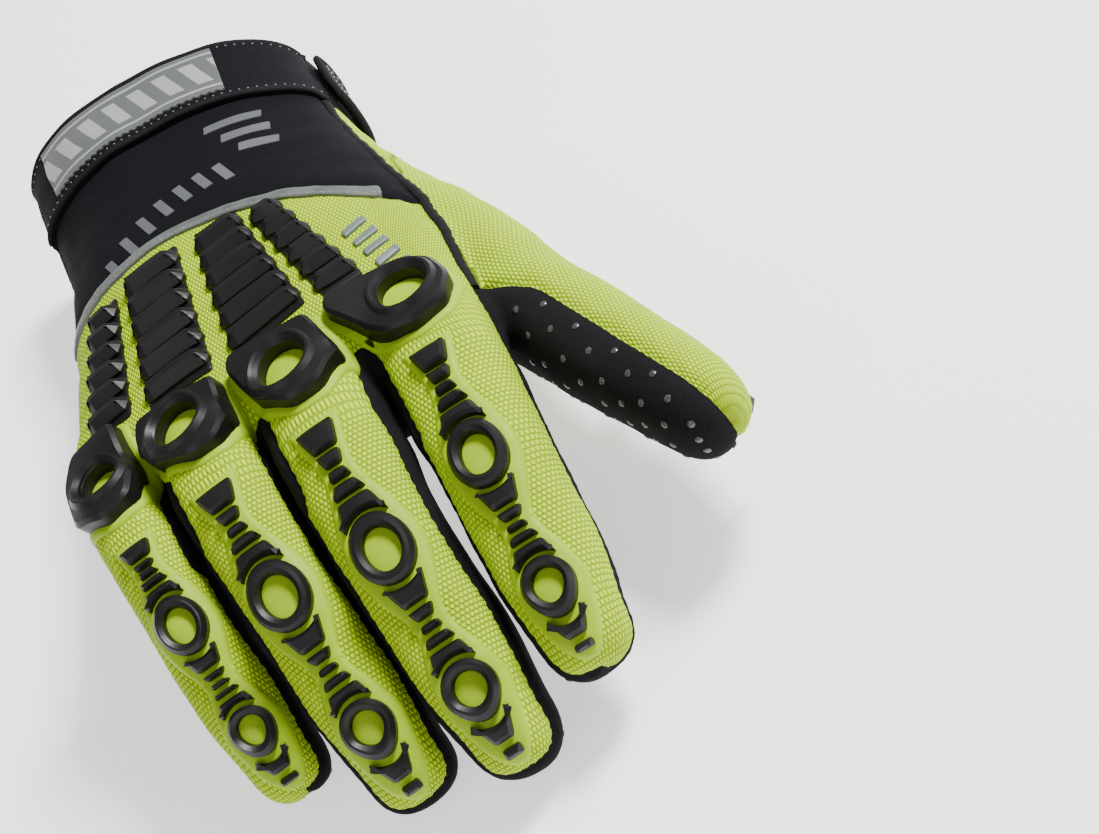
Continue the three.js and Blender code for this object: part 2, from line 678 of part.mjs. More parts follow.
addMesh(hand, 'back_panel', backPanel(), LIME);
addMesh(hand, 'palm_panel', palmPanel(), SUEDE);
addMesh(hand, 'thumb_gusset', thumbRoot(), LIME);
addMesh(hand, 'cuff_back', cuffBack(), NEOPRENE);
addMesh(hand, 'cuff_palm', cuffPalm(), NEOPRENE);
addMesh(hand, 'wrist_strap', wristStrap(), NEOPRENE);
addMesh(hand, 'strap_label', strapLabel(), WOVEN);
addMesh(hand, 'reflective_piping', piping(), REFLECTIVE);

for (const [name, pad] of Object.entries(RIB_PADS)) {
  const mesh = addMesh(hand, `rib_pad_${name}`, ribPad(pad), RUBBER);
  mesh.applyMatrix4(onBack(...pad.place, 0.6));
}
for (const finger of FINGERS) {
  const guard = knuckleGuard(KNUCKLE_OUTLINES[finger.name], KNUCKLE_HOLES[finger.name]);
  const mesh = addMesh(hand, `knuckle_guard_${finger.name}`, guard, RUBBER);
  mesh.applyMatrix4(onBack(...finger.knuckle, 0.5));
  addFinger(hand, finger);
}
addThumb(hand);
addStrapTab(hand);

// Stand the glove on the surface, with the origin under the middle of its box.
glove.updateMatrixWorld(true);
const bounds = new THREE.Box3().setFromObject(glove, true);
const middle = bounds.getCenter(new THREE.Vector3());
hand.position.set(-middle.x, -middle.y, -bounds.min.z);
glove.updateMatrixWorld(true);

export default glove;
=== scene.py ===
# Cut resistant glove, right hand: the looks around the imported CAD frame.
# Shapes are worked out in millimetres in the hand frame, and placed in the row frame when a mesh is made:
# x towards the little finger, y towards the fingertips, z out of the back of the hand, where z is 0.
import json
import math

import bpy
import numpy as np
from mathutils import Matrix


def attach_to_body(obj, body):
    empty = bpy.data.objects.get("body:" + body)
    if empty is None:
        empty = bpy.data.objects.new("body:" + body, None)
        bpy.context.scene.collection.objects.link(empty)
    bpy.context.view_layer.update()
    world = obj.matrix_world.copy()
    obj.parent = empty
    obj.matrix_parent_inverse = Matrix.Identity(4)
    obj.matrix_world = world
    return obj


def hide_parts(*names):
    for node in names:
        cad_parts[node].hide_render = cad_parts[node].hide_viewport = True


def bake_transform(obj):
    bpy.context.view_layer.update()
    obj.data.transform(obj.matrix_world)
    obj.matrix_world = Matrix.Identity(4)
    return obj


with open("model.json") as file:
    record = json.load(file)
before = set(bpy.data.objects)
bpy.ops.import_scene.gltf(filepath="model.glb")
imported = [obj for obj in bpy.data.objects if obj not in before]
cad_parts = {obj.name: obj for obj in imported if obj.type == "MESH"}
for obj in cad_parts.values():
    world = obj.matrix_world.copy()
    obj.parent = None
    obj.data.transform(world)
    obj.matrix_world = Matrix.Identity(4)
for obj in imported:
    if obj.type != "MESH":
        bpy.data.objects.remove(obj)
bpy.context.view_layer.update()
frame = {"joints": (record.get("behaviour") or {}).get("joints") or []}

import openvdb
from mathutils import Matrix, Vector
from mathutils.bvhtree import BVHTree
from mathutils.geometry import delaunay_2d_cdt
from mathutils.kdtree import KDTree

MM = 0.001

# ---------- driving dimensions ----------

VOXEL = 1.15                    # grid of the skin
HINGE_DEPTH = 13.5              # joints lie this far under the back of each finger
KNUCKLE_TO_JOINT = 10           # s = 0 on the middle of the knuckle guard, the joint lies this far beyond
SKIN_POWER = 2.35               # squareness of the fingers' section: 2 is an ellipse
HAND_POWER = 2.5                # squareness of the hand's section
FAR = 30.0                      # distance given to points that are not near a finger or the thumb

# Sections of hand and cuff from the wrist mouth to the knuckles: y, middle x, half width, top, bottom.
HAND = np.array([
    (-150, -1.2, 41, -3, -47.5),
    (-138, -1.5, 41, -3, -48.9),
    (-106, -2.5, 41, -3, -51.4),
    (-85, -4, 42, -2.5, -47),
    (-60, -4.5, 45.5, -2, -42),
    (-30, -4.5, 49.5, -2, -37),
    (0, -4, 51.5, -3, -32),
    (12, -4, 51, -4, -30),
    (40, -4, 50, -8, -28),
])


def mouth_line(x):
    """y of the wrist mouth."""
    return -138 - 0.19 * x + np.where(x < 0, 0.003, 0.002) * x ** 2


# flex: bend of the knuckle as the glove lies. reach: from the guard's middle to the middle joint, on to
# the end joint, and on to the tip. widths and heights: at the knuckle, middle joint, end joint and start of
# the tip. rings: outer radii of the two round guards. folds: lengths that bend at the two joints.
LONG_FINGER = dict(heights=(21, 19.5, 18.5, 17), folds=(26, 17))
FINGERS = {
    "index": dict(flex=18, reach=(40.5, 30.5, 18), widths=(26, 25, 23.2, 20.4), rings=(6.4, 5.7),
                  **LONG_FINGER),
    "middle": dict(flex=25, reach=(43.5, 33, 19.5), widths=(25.6, 24.6, 22.8, 20.4), rings=(6.7, 6),
                   **LONG_FINGER),
    "ring": dict(flex=29, reach=(40, 32, 19.5), widths=(22.8, 22.4, 22, 20), rings=(6.7, 5.9), **LONG_FINGER),
    "pinky": dict(flex=30, reach=(32.5, 25.5, 17), widths=(19.2, 19.2, 19, 17.5), rings=(5.5, 5),
                  heights=(20, 18, 17, 15.5), folds=(19, 15)),
}
PIP_FLEX, DIP_FLEX = 10, 5      # bend of the middle and end joints as the glove lies
JOINT_BEND = 14                 # length over which a finger's middle line turns at each joint
TIP_LENGTH = 10.5               # length of a rounded fingertip
WEB_SLOPE = 0.58                # the webs between fingers run forward by this much for each mm down
WEB = np.array([(-60, 1), (-29, 3.5), (-1.5, 1.0), (24, -8.5), (50, -14)])   # where the webs start: x, y

# Middle line of the thumb before its base joint.
THUMB_ROOT = np.array([(-37, -75, -27), (-46.5, -50, -29), (-56.5, -25, -29.5)])
THUMB_SIZES = np.array([        # s from the base joint, half width (up), half height (across)
    (-82, 9, 8), (-55, 13, 12), (-28, 13.5, 12.5), (0, 13, 11.8), (34, 12.3, 11), (57, 11, 9.5),
])
THUMB_REACH = (33.5, 33)        # from the base joint to the end joint, and on to the tip
THUMB_TIP = 13                  # length of its rounded tip
THUMB_END_FOLD = 20             # length that bends at the end joint
THUMB_CUT = THUMB_REACH[0] * 0.66               # s of the cut between the thumb's two parts
THUMB_GUARD_TURN = 48           # the guards sit this far round the thumb, away from the palm
THUMB_SWING = 10                # the base joint lies this far under the thumb's middle line

PANEL = dict(knit=1.3, suede=1.1, neoprene=2.0)   # thickness of each fabric
SIDE_INNER, SIDE_OUTER = 4.2, -0.6                # seam height above a finger's middle line, two sides
FOURCHETTE = 2.5                # half width of the black strip at its rounded top end
FOURCHETTE_TOPS = [(-28.6, 5.2), (-1.2, 4.6), (24.6, -3.2)]
HAND_SEAM = -17                 # side seam on the little finger side
PALM_CUFF = -74                 # cuff seam on the palm side
THUMB_PANEL_START = -97         # y where the knit of the thumb root starts

# ---------- frames ----------

JOINTS = {joint["name"]: joint for joint in frame["joints"]}
HAND_Y = np.array(JOINTS["strap_tab_peel"]["axis"])
HAND_X = np.array([1.0, 0.0, 0.0])
AXES = np.array([HAND_X, HAND_Y, np.cross(HAND_X, HAND_Y)])
MIDDLE_KNUCKLE = np.array([-13.605, 14.0, -16.915])   # the middle finger's knuckle joint in the hand frame
ORIGIN = np.array(JOINTS["middle_knuckle"]["pos_m"]) - MM * MIDDLE_KNUCKLE @ AXES


def to_world(points):
    """From the hand frame in mm to the row frame in metres."""
    return ORIGIN + MM * (np.asarray(points, float) @ AXES)


def to_hand(point):
    """From the row frame in metres to the hand frame in mm."""
    return (np.array(point, float) - ORIGIN) @ AXES.T / MM


def joint_at(name):
    return to_hand(JOINTS[name]["pos_m"])


def joint_axis(name):
    return np.array(JOINTS[name]["axis"]) @ AXES.T


# ---------- small maths ----------

def unit(v):
    return v / np.maximum(np.linalg.norm(v, axis=-1, keepdims=True), 1e-9)


def smooth(t):
    t = np.clip(t, 0, 1)
    return t * t * (3 - 2 * t)


def spline(x, xs, ys):
    """A smooth curve through the points (xs, ys)."""
    x = np.clip(x, xs[0], xs[-1])
    slope = np.gradient(ys, xs)
    k = np.clip(np.searchsorted(xs, x) - 1, 0, len(xs) - 2)
    width = xs[k + 1] - xs[k]
    t = (x - xs[k]) / width
    return ((1 + 2 * t) * (1 - t) ** 2 * ys[k] + t * (1 - t) ** 2 * width * slope[k]
            + t * t * (3 - 2 * t) * ys[k + 1] + t * t * (t - 1) * width * slope[k + 1])


def smooth_union(a, b, k):
    h = np.clip(0.5 + 0.5 * (b - a) / k, 0, 1)
    return b + (a - b) * h - k * h * (1 - h)


def rounded_distance(parts, power):
    """Distance to a superellipse or superellipsoid: parts are (offset, half size)."""
    shares = [np.abs(offset) / half for offset, half in parts]
    q = sum(share ** power for share in shares) ** (1 / power)
    q = np.maximum(q, 1e-3)
    slope = sum((share ** (power - 1) / half) ** 2 for share, (_, half) in zip(shares, parts)) ** 0.5
    return (q - 1) / np.maximum(slope * q ** (1 - power), 1e-3)


WAVES = 14                      # waves that are added up for one ripple


def ripple(points, size, seed):
    """Smooth random heights about 0, with bumps of about size mm."""
    rng = np.random.default_rng(seed)
    directions = unit(rng.normal(size=(WAVES, 3))) * (2 * math.pi / size) * rng.uniform(0.6, 1.3, (WAVES, 1))
    phases = rng.uniform(0, 2 * math.pi, WAVES)
    return np.sin(points @ directions.T + phases).sum(1) / WAVES ** 0.5 / 1.4


# ---------- the skin as a distance field ----------

class Tube:
    """A finger or the thumb: a bent middle line with a rounded section. s runs along it."""

    def __init__(self, s, line, side, half_width, half_height, tip):
        self.s, self.line, self.tip = s, line, tip
        self.along = unit(np.gradient(line, axis=0))
        self.side = unit(side - (self.along @ side)[:, None] * self.along)
        self.out = np.cross(self.side, self.along)
        self.half_width, self.half_height = half_width, half_height

    def coordinates(self, points):
        """Along the line, across it, and out of its back, for each point."""
        found = np.empty(len(points), int)
        for start in range(0, len(points), 40000):
            block = points[start:start + 40000]
            square = (self.line ** 2).sum(1) - 2 * block @ self.line.T
            found[start:start + 40000] = square.argmin(1)
        away = points - self.line[found]
        s = self.s[found] + (away * self.along[found]).sum(1)
        return s, (away * self.side[found]).sum(1), (away * self.out[found]).sum(1)

    def distance(self, points):
        s, x, n = self.coordinates(points)
        half_width = np.interp(s, self.s, self.half_width)
        half_height = np.interp(s, self.s, self.half_height)
        end = np.clip(s - (self.s[-1] - self.tip), 0, None) + np.clip(self.s[0] - s, 0, None)
        return rounded_distance([(x, half_width), (n, half_height), (end, self.tip)], SKIN_POWER)

    def at(self, s):
        """Middle, along, side and out at s."""
        take = lambda rows: np.stack([np.interp(s, self.s, rows[:, k]) for k in range(3)], -1)
        return take(self.line), unit(take(self.along)), unit(take(self.side)), unit(take(self.out))


def finger_tube(name):
    spec = FINGERS[name]
    knuckle = joint_at(f"{name}_knuckle")
    side = -joint_axis(f"{name}_knuckle")
    forward = np.cross([0, 0, 1], side)
    reach = spec["reach"]
    joints = np.array([KNUCKLE_TO_JOINT, reach[0], reach[0] + reach[1]])
    s = np.arange(-20, sum(reach) + 0.01, 1.0)
    turn = sum(math.radians(flex) * smooth((s - at) / JOINT_BEND + 0.5)
               for flex, at in zip((spec["flex"], PIP_FLEX, DIP_FLEX), joints))
    step = np.stack([np.cos(turn), -np.sin(turn)], 1)
    plane = np.cumsum(step, 0) - step[0]
    plane -= [np.interp(KNUCKLE_TO_JOINT, s, plane[:, k]) for k in range(2)]
    joint_line = knuckle + plane[:, :1] * forward + plane[:, 1:] * np.array([0, 0, 1])
    out = np.sin(turn)[:, None] * forward + np.cos(turn)[:, None] * np.array([0, 0, 1])
    stations = np.array([-20, 0, joints[1], joints[2], s[-1] - TIP_LENGTH, s[-1]], float)
    widths = np.array([spec["widths"][0] - 4, *spec["widths"], spec["widths"][3]]) / 2
    heights = np.array([spec["heights"][0] - 3, *spec["heights"], spec["heights"][3]]) / 2
    half_width = spline(s, stations, widths)
    half_height = spline(s, stations, heights)
    sunk = 3 * smooth((4 - s) / 20)                  # the tube goes under the back of the hand
    tip_drop = 2.0 * smooth((s - s[-1] + 16) / 16)
    line = joint_line + (HINGE_DEPTH - half_height - sunk - tip_drop)[:, None] * out
    return Tube(s, line, side, half_width, half_height, TIP_LENGTH)


def upward(axis):
    """The same axis, turned so that it points out of the back of the hand."""
    return axis * np.sign(axis[2])


def thumb_tube():
    base = joint_at("thumb_base") + THUMB_SWING * upward(joint_axis("thumb_end_joint"))
    joint = joint_at("thumb_end_joint")
    forward = unit(joint - base)
    points = np.vstack([THUMB_ROOT, base - 2 * forward, base + 6 * forward, joint,
                        base + sum(THUMB_REACH) * forward])
    length = np.concatenate([[0], np.cumsum(np.linalg.norm(np.diff(points, axis=0), axis=1))])
    at_base = length[3] + 2
    s = np.arange(length[0], length[-1] + 0.01, 1.0)
    line = np.stack([spline(s, length, points[:, k]) for k in range(3)], 1)
    s = s - at_base
    sizes = [spline(s, THUMB_SIZES[:, 0], THUMB_SIZES[:, k]) for k in (1, 2)]
    return Tube(s, line, np.array([0.0, 0.0, 1.0]), sizes[0], sizes[1], THUMB_TIP)


TUBES = {name: finger_tube(name) for name in FINGERS}
THUMB = thumb_tube()


def hand_distance(points):
    x, y, z = points.T
    middle, half, top, bottom = (spline(y, HAND[:, 0], HAND[:, k]) for k in (1, 2, 3, 4))
    height = (top - bottom) / 2
    around = rounded_distance([(x - middle, half), (z - (top + bottom) / 2, height)], HAND_POWER)
    front = (y - spline(x, WEB[:, 0], WEB[:, 1]) - WEB_SLOPE * (top - z)) / math.hypot(1, WEB_SLOPE)
    return -smooth_union(-around, -front, 6)


def skin_distance(points):
    """Distance to the outside of the glove, close to it."""
    y = points[:, 1]
    fingers = np.full(len(points), FAR)
    fillet = 0.2 + 4.3 * (1 - smooth((y - spline(points[:, 0], WEB[:, 0], WEB[:, 1])) / 14))
    for tube in TUBES.values():
        near = np.all((points > tube.line.min(0) - 18) & (points < tube.line.max(0) + 18), axis=1)
        own = np.full(len(points), FAR)
        own[near] = tube.distance(points[near])
        fingers = smooth_union(fingers, own, fillet)
    thumb = np.full(len(points), FAR)
    near = np.all((points > THUMB.line.min(0) - 20) & (points < THUMB.line.max(0) + 20), axis=1)
    thumb[near] = THUMB.distance(points[near])
    body = smooth_union(hand_distance(points), thumb, 1.5 + 7 * (1 - smooth((y + 25) / 30)))
    return smooth_union(body, fingers, 3)


GRID_LOW = np.array([-106.0, -148.0, -80.0])    # corners of the grid, round the whole glove
GRID_HIGH = np.array([58.0, 98.0, 8.0])


class Grid:
    """The distance field on a regular grid."""

    def __init__(self):
        counts = np.ceil((GRID_HIGH - GRID_LOW) / VOXEL).astype(int) + 1
        axes = [GRID_LOW[k] + VOXEL * np.arange(counts[k]) for k in range(3)]
        self.values = np.empty(counts, np.float32)
        for i, x in enumerate(axes[0]):
            y, z = np.meshgrid(axes[1], axes[2], indexing="ij")
            points = np.stack([np.full(y.size, x), y.ravel(), z.ravel()], 1)
            self.values[i] = skin_distance(points).reshape(y.shape)
        self.values = np.clip(self.values, -12, 12)
        self.slopes = np.gradient(self.values, VOXEL)

    def sample(self, volume, points):
        place = (points - GRID_LOW) / VOXEL
        low = np.clip(np.floor(place).astype(int), 0, np.array(volume.shape) - 2)
        t = place - low
        total = 0
        for corner in range(8):
            step = np.array([corner & 1, corner >> 1 & 1, corner >> 2])
            weight = np.prod(np.where(step, t, 1 - t), axis=1)
            total = total + weight * volume[tuple((low + step).T)]
        return total

    def normals(self, points):
        return unit(np.stack([self.sample(slope, points) for slope in self.slopes], 1))

    def surface(self):
        """The skin as points and triangles."""
        volume = openvdb.FloatGrid(12.0)
        volume.copyFromArray(self.values)
        index_points, quads = volume.convertToQuads(0.0)
        points = GRID_LOW + VOXEL * index_points.astype(float)
        for _ in range(3):
            points = points - self.sample(self.values, points)[:, None] * self.normals(points)
        quads = quads.astype(int)
        short = (np.linalg.norm(points[quads[:, 0]] - points[quads[:, 2]], axis=1)
                 < np.linalg.norm(points[quads[:, 1]] - points[quads[:, 3]], axis=1))
        first = np.where(short[:, None], quads[:, [0, 1, 2]], quads[:, [0, 1, 3]])
        second = np.where(short[:, None], quads[:, [0, 2, 3]], quads[:, [1, 2, 3]])
        triangles = np.vstack([first, second])
        facing = np.cross(points[triangles[:, 1]] - points[triangles[:, 0]],
                          points[triangles[:, 2]] - points[triangles[:, 0]])
        if (facing * self.normals(points[triangles].mean(1))).sum() < 0:
            triangles = triangles[:, ::-1]
        return points, triangles


# ---------- panels: where each fabric lies on the skin ----------

MCP_TILT = math.radians(33)     # the knuckle fold slopes forward towards the palm
MCP_FIRST = 13.6                # it starts this far beyond the knuckle, measured along its own direction
MCP_FOLD = 15.5                 # and it is this long
MCP_DEPTH = HINGE_DEPTH - 10.5  # the knuckle joint lies this far under the finger's middle line
THUMB_TILT = math.radians(36)   # the same three for the fold at the thumb's base joint
THUMB_FIRST = 2.0
THUMB_FOLD = 17
FAR_AWAY = 99.0                 # minus this is a column's value where the column does not count


def mid_phalanges(name):
    """s of the cuts half way along the first and second part of a finger."""
    reach = FINGERS[name]["reach"]
    return (min(reach[0] * 0.5 + KNUCKLE_TO_JOINT / 2 + 2, reach[0] - 9), reach[0] + reach[1] * 0.5)


def cuff_seam(x):
    """y of the seam between cuff and back of the hand."""
    return -66 - 0.25 * x + 0.0065 * x ** 2


# The black edging between the back of the hand and the thumb panel: y, x, z.
THUMB_SEAM = np.array([
    (-138, -39.5, -19), (-94, -41.5, -17), (-73, -47, -15), (-44, -52, -14.5), (-20, -54.5, -14.5),
    (5, -55, -14.5), (30, -54, -14),
])


def thumb_seam(y):
    """x and z of the edging at y."""
    return [spline(y, THUMB_SEAM[:, 0], THUMB_SEAM[:, k]) for k in (1, 2)]


# What is known of each point of the skin. The seams and cuts are where a column crosses zero.
CUTS = ("top", "thumb", "cuff_back", "cuff_palm", "panel_start", "fold", "split_1", "split_2",
        "thumb_fold", "thumb_split")
COLUMNS = ("x", "y", "z", "mouth", "part", "u", "v", *CUTS)
COLUMN = {name: k for k, name in enumerate(COLUMNS)}
THUMB_PART = len(FINGERS)       # the thumb is numbered after the fingers


def describe(points):
    """For each point of the skin: its heights above each seam, its finger, and its place in the weave."""
    x, y, z = points.T
    data = {"x": x, "y": y, "z": z, "mouth": y - mouth_line(x)}
    names = list(TUBES)
    distances = np.stack([TUBES[name].distance(points) for name in names])
    nearest = distances.argmin(0)
    coordinates = [TUBES[name].coordinates(points) for name in names]
    s, across, out = (np.choose(nearest, rows) for rows in zip(*coordinates))
    seam = np.full(len(points), SIDE_INNER)
    seam[(nearest == 0) & (across < 0)] = SIDE_OUTER
    seam[(nearest == 3) & (across > 0)] = SIDE_OUTER
    on_finger = smooth((s + 2) / 16) * smooth((8 - distances.min(0)) / 6)
    seam_x, seam_z = thumb_seam(y)
    slanted = ((x - seam_x) + (z - seam_z)) * 0.7
    hand_top = np.where(x < -20, slanted, z - HAND_SEAM)
    top = hand_top * (1 - on_finger) + (out - seam) * on_finger
    for start_x, start_y in FOURCHETTE_TOPS:
        beyond = np.clip(y - start_y - FOURCHETTE, 0, 22)
        strip = np.hypot(x - start_x, y - start_y - FOURCHETTE - beyond) - FOURCHETTE
        top = np.where(z > -30, np.minimum(top, strip), top)
    data["top"] = top

    thumb_s, thumb_x, thumb_n = THUMB.coordinates(points)
    root = 1 - smooth((thumb_s + 24) / 34)
    upper = smooth((thumb_x + 4) / 8)
    limit = 0.6 - root * (16 * upper + 3 * (1 - upper))
    data["thumb"] = thumb_n - limit
    data["panel_start"] = y - THUMB_PANEL_START
    data["cuff_back"] = y - cuff_seam(x)
    data["cuff_palm"] = y - PALM_CUFF

    hand = hand_distance(points)
    thumb = THUMB.distance(points)
    thumb_fold = thumb_s * math.cos(THUMB_TILT) + thumb_n * math.sin(THUMB_TILT) - THUMB_FIRST
    fold = s * math.cos(MCP_TILT) + (out + MCP_DEPTH) * math.sin(MCP_TILT) - MCP_FIRST
    is_thumb = (thumb < hand) & (thumb < distances.min(0)) & (x < -50)
    part = np.where(is_thumb, THUMB_PART, nearest)
    data["fold"] = np.where(is_thumb, -FAR_AWAY, fold)
    data["thumb_fold"] = np.where(is_thumb, thumb_fold, -FAR_AWAY)
    data["thumb_split"] = np.where(is_thumb, thumb_s - THUMB_CUT, -FAR_AWAY)
    splits = np.array([mid_phalanges(name) for name in names])
    data["part"] = part
    for k in range(2):
        data[f"split_{k + 1}"] = np.where(is_thumb, -FAR_AWAY, s - splits[nearest, k])

    wrap = np.arctan2(across, out + 3) * 12
    knuckle_x = np.array([joint_at(f"{name}_knuckle")[0] for name in names])[nearest]
    mix = smooth((s - 2) / 14)
    side_x = x + np.sign(x) * np.clip(np.abs(x) - 44, 0, None) * 0.8
    weave_x = (knuckle_x + wrap) * mix + side_x * (1 - mix)
    data["u"] = np.where(is_thumb, np.arctan2(thumb_x, thumb_n) * 12.5, weave_x)
    data["v"] = np.where(is_thumb, thumb_s, (s + 2) * mix + y * (1 - mix))
    return np.stack([data[name] for name in COLUMNS], 1)


SNAP = 0.06                     # points nearer to a cut than this count as lying on it, so no sliver is left


def cut(data, triangles, column):
    """Adds points where a column crosses zero, so that no triangle lies on both sides."""
    value = data[:, column].copy()
    value[np.abs(value) < SNAP] = 0
    data = data.copy()
    data[:, column] = value
    sign = np.sign(value)[triangles]
    spread = np.ptp(value[triangles], axis=1)
    crossing = (sign.min(1) < 0) & (sign.max(1) > 0) & (spread < FAR_AWAY / 2)
    work = triangles[crossing]
    edges = np.sort(np.stack([work, np.roll(work, -1, 1)], 2).reshape(-1, 2), 1)
    unique, inverse = np.unique(edges, axis=0, return_inverse=True)
    first, second = value[unique[:, 0]], value[unique[:, 1]]
    split = first * second < 0
    share = (first / np.where(split, first - second, 1))[split][:, None]
    added = data[unique[split, 0]] * (1 - share) + data[unique[split, 1]] * share
    added[:, column] = 0
    added[:, COLUMN["part"]] = data[unique[split, 0], COLUMN["part"]]
    number = np.full(len(unique), -1)
    number[split] = len(data) + np.arange(split.sum())
    middle = number[inverse.ravel()].reshape(-1, 3)
    pieces = [triangles[~crossing]]
    count = (middle >= 0).sum(1)
    for turn in range(3):
        corner = np.roll(work, -turn, 1)
        edge = np.roll(middle, -turn, 1)
        pick = (edge[:, 0] >= 0) & (edge[:, 2] >= 0)
        a, b, c = corner[pick].T
        ab, _, ca = edge[pick].T
        pieces += [np.stack([a, ab, ca], 1), np.stack([ab, b, c], 1), np.stack([ab, c, ca], 1)]
        pick = (count == 1) & (edge[:, 1] >= 0)
        a, b, c = corner[pick].T
        bc = edge[pick, 1]
        pieces += [np.stack([a, b, bc], 1), np.stack([a, bc, c], 1)]
    return np.vstack([data, added]), np.vstack(pieces)


def drop_unused(data, triangles):
    used, inverse = np.unique(triangles, return_inverse=True)
    return data[used], inverse.reshape(-1, 3)


CUFF_BACK, CUFF_PALM, BACK, PALM, THUMB_PANEL = range(5)


def label(data, triangles):
    """Panel and body of each triangle. Bodies: 0 the hand, 1 to 3 the parts of a finger, and the finger."""
    mean = data[triangles].mean(1)
    get = lambda name: mean[:, COLUMN[name]]
    top, thumb = get("top") > 0, get("thumb") > 0
    panel = np.full(len(triangles), PALM)
    panel[get("cuff_palm") < 0] = CUFF_PALM
    side = ~top & thumb & (get("x") < 0)
    panel[side] = np.where(get("panel_start")[side] > 0, THUMB_PANEL, CUFF_PALM)
    panel[top] = np.where(get("cuff_back")[top] > 0, BACK, CUFF_BACK)
    finger = np.round(np.median(data[triangles][:, :, COLUMN["part"]], axis=1)).astype(int)
    part = np.zeros(len(triangles), int)
    is_thumb = finger == THUMB_PART
    for number, cut_name in enumerate(("fold", "split_1", "split_2"), start=1):
        part[~is_thumb & (get(cut_name) > 0)] = number
    for number, cut_name in enumerate(("thumb_fold", "thumb_split"), start=1):
        part[is_thumb & (get(cut_name) > 0)] = number
    beyond = part > 0
    panel[beyond & ~is_thumb] = np.where(top, BACK, PALM)[beyond & ~is_thumb]
    panel[beyond & is_thumb] = np.where(thumb, THUMB_PANEL, PALM)[beyond & is_thumb]
    return panel, finger, part


# ---------- materials ----------

class Nodes:
    """A material's node tree, with short calls to add nodes."""

    def __init__(self, name, color, roughness, **settings):
        self.material = bpy.data.materials.new(name)
        self.material.use_nodes = True
        self.tree = self.material.node_tree
        self.shader = self.tree.nodes["Principled BSDF"]
        self.set("Base Color", (*color, 1))
        self.set("Roughness", roughness)
        for socket, value in settings.items():
            self.set(socket.replace("_", " "), value)

    def set(self, socket, value):
        if isinstance(value, bpy.types.NodeSocket):
            self.tree.links.new(value, self.shader.inputs[socket])
        else:
            self.shader.inputs[socket].default_value = value

    def add(self, kind, inputs=(), out=0, **properties):
        node = self.tree.nodes.new(kind)
        for name, value in properties.items():
            setattr(node, name, value)
        for key, value in dict(inputs).items():
            if isinstance(value, bpy.types.NodeSocket):
                self.tree.links.new(value, node.inputs[key])
            else:
                node.inputs[key].default_value = value
        return node.outputs[out]

    def math(self, operation, a, b=0.0):
        return self.add("ShaderNodeMath", {0: a, 1: b}, operation=operation)

    def position(self):
        return self.add("ShaderNodeTexCoord", out="Object")

    def noise(self, scale, detail=2.0, vector=None):
        inputs = {"Vector": vector or self.position(), "Scale": scale, "Detail": detail}
        return self.add("ShaderNodeTexNoise", inputs, out="Fac")

    def mix(self, share, a, b):
        node = self.tree.nodes.new("ShaderNodeMix")
        node.data_type = "RGBA"
        for socket, value in ((node.inputs[0], share), (node.inputs[6], a), (node.inputs[7], b)):
            if isinstance(value, bpy.types.NodeSocket):
                self.tree.links.new(value, socket)
            else:
                socket.default_value = value if isinstance(value, float) else (*value, 1)
        return node.outputs[2]

    def bump(self, height, distance, strength=1.0, under=None):
        inputs = {"Height": height, "Distance": distance, "Strength": strength}
        if under is not None:
            inputs["Normal"] = under
        normal = self.add("ShaderNodeBump", inputs)
        self.set("Normal", normal)
        return normal

    def place_in_weave(self):
        """u and v of the weave, in mm, from the mesh."""
        split = self.tree.nodes.new("ShaderNodeSeparateXYZ")
        place = self.add("ShaderNodeAttribute", attribute_name="weave", out="Vector")
        self.tree.links.new(place, split.inputs[0])
        return split.outputs[0], split.outputs[1]

    def weave(self, across, along):
        """Rows of domed beads, 0 in the gaps and 1 on each bead; every other row is moved half a bead."""
        u, v = self.place_in_weave()
        row = self.math("DIVIDE", v, along)
        odd = self.math("MULTIPLY", self.math("PINGPONG", self.math("FLOOR", row), 1.0), 0.5)
        column = self.math("ADD", self.math("DIVIDE", u, across), odd)
        return self.math("MULTIPLY", self.dome(column), self.dome(row))

    def dome(self, value):
        middle = self.math("SUBTRACT", self.math("MULTIPLY", self.math("FRACT", value), 2.0), 1.0)
        return self.math("SUBTRACT", 1.0, self.math("POWER", self.math("ABSOLUTE", middle), 2.4))


# The second colour is painted shade for the gaps between the knit's beads, and also the darker tone of a
# broad random mottle; the third is a painted highlight on the crowns of the beads.
LIME_LIT, LIME_GAP_SHADE_AND_MOTTLE, LIME_BEAD_HIGHLIGHT = (0.57, 0.80, 0.003), (0.17, 0.30, 0.001), (0.72, 0.93, 0.015)


def knit(name, across, along, depth):
    nodes = Nodes(name, LIME_LIT, 0.75, Specular_IOR_Level=0.15)
    bead = nodes.weave(across, along)
    # Painted shade: the gaps between the beads are darker than the beads.
    tint = nodes.mix(nodes.math("POWER", bead, 0.6), LIME_GAP_SHADE_AND_MOTTLE, LIME_LIT)
    # Painted highlight: fine specks of a lighter lime on the crown of each bead.
    crown_highlight = nodes.math("MULTIPLY", nodes.math("POWER", bead, 5.0), nodes.noise(900, 1.0))
    tint = nodes.mix(crown_highlight, tint, LIME_BEAD_HIGHLIGHT)
    # A broad random mottle towards the darker lime.
    nodes.set("Base Color", nodes.mix(nodes.math("MULTIPLY", nodes.noise(35), 0.28), tint, LIME_GAP_SHADE_AND_MOTTLE))
    nodes.bump(bead, depth, 0.9)
    return nodes.material


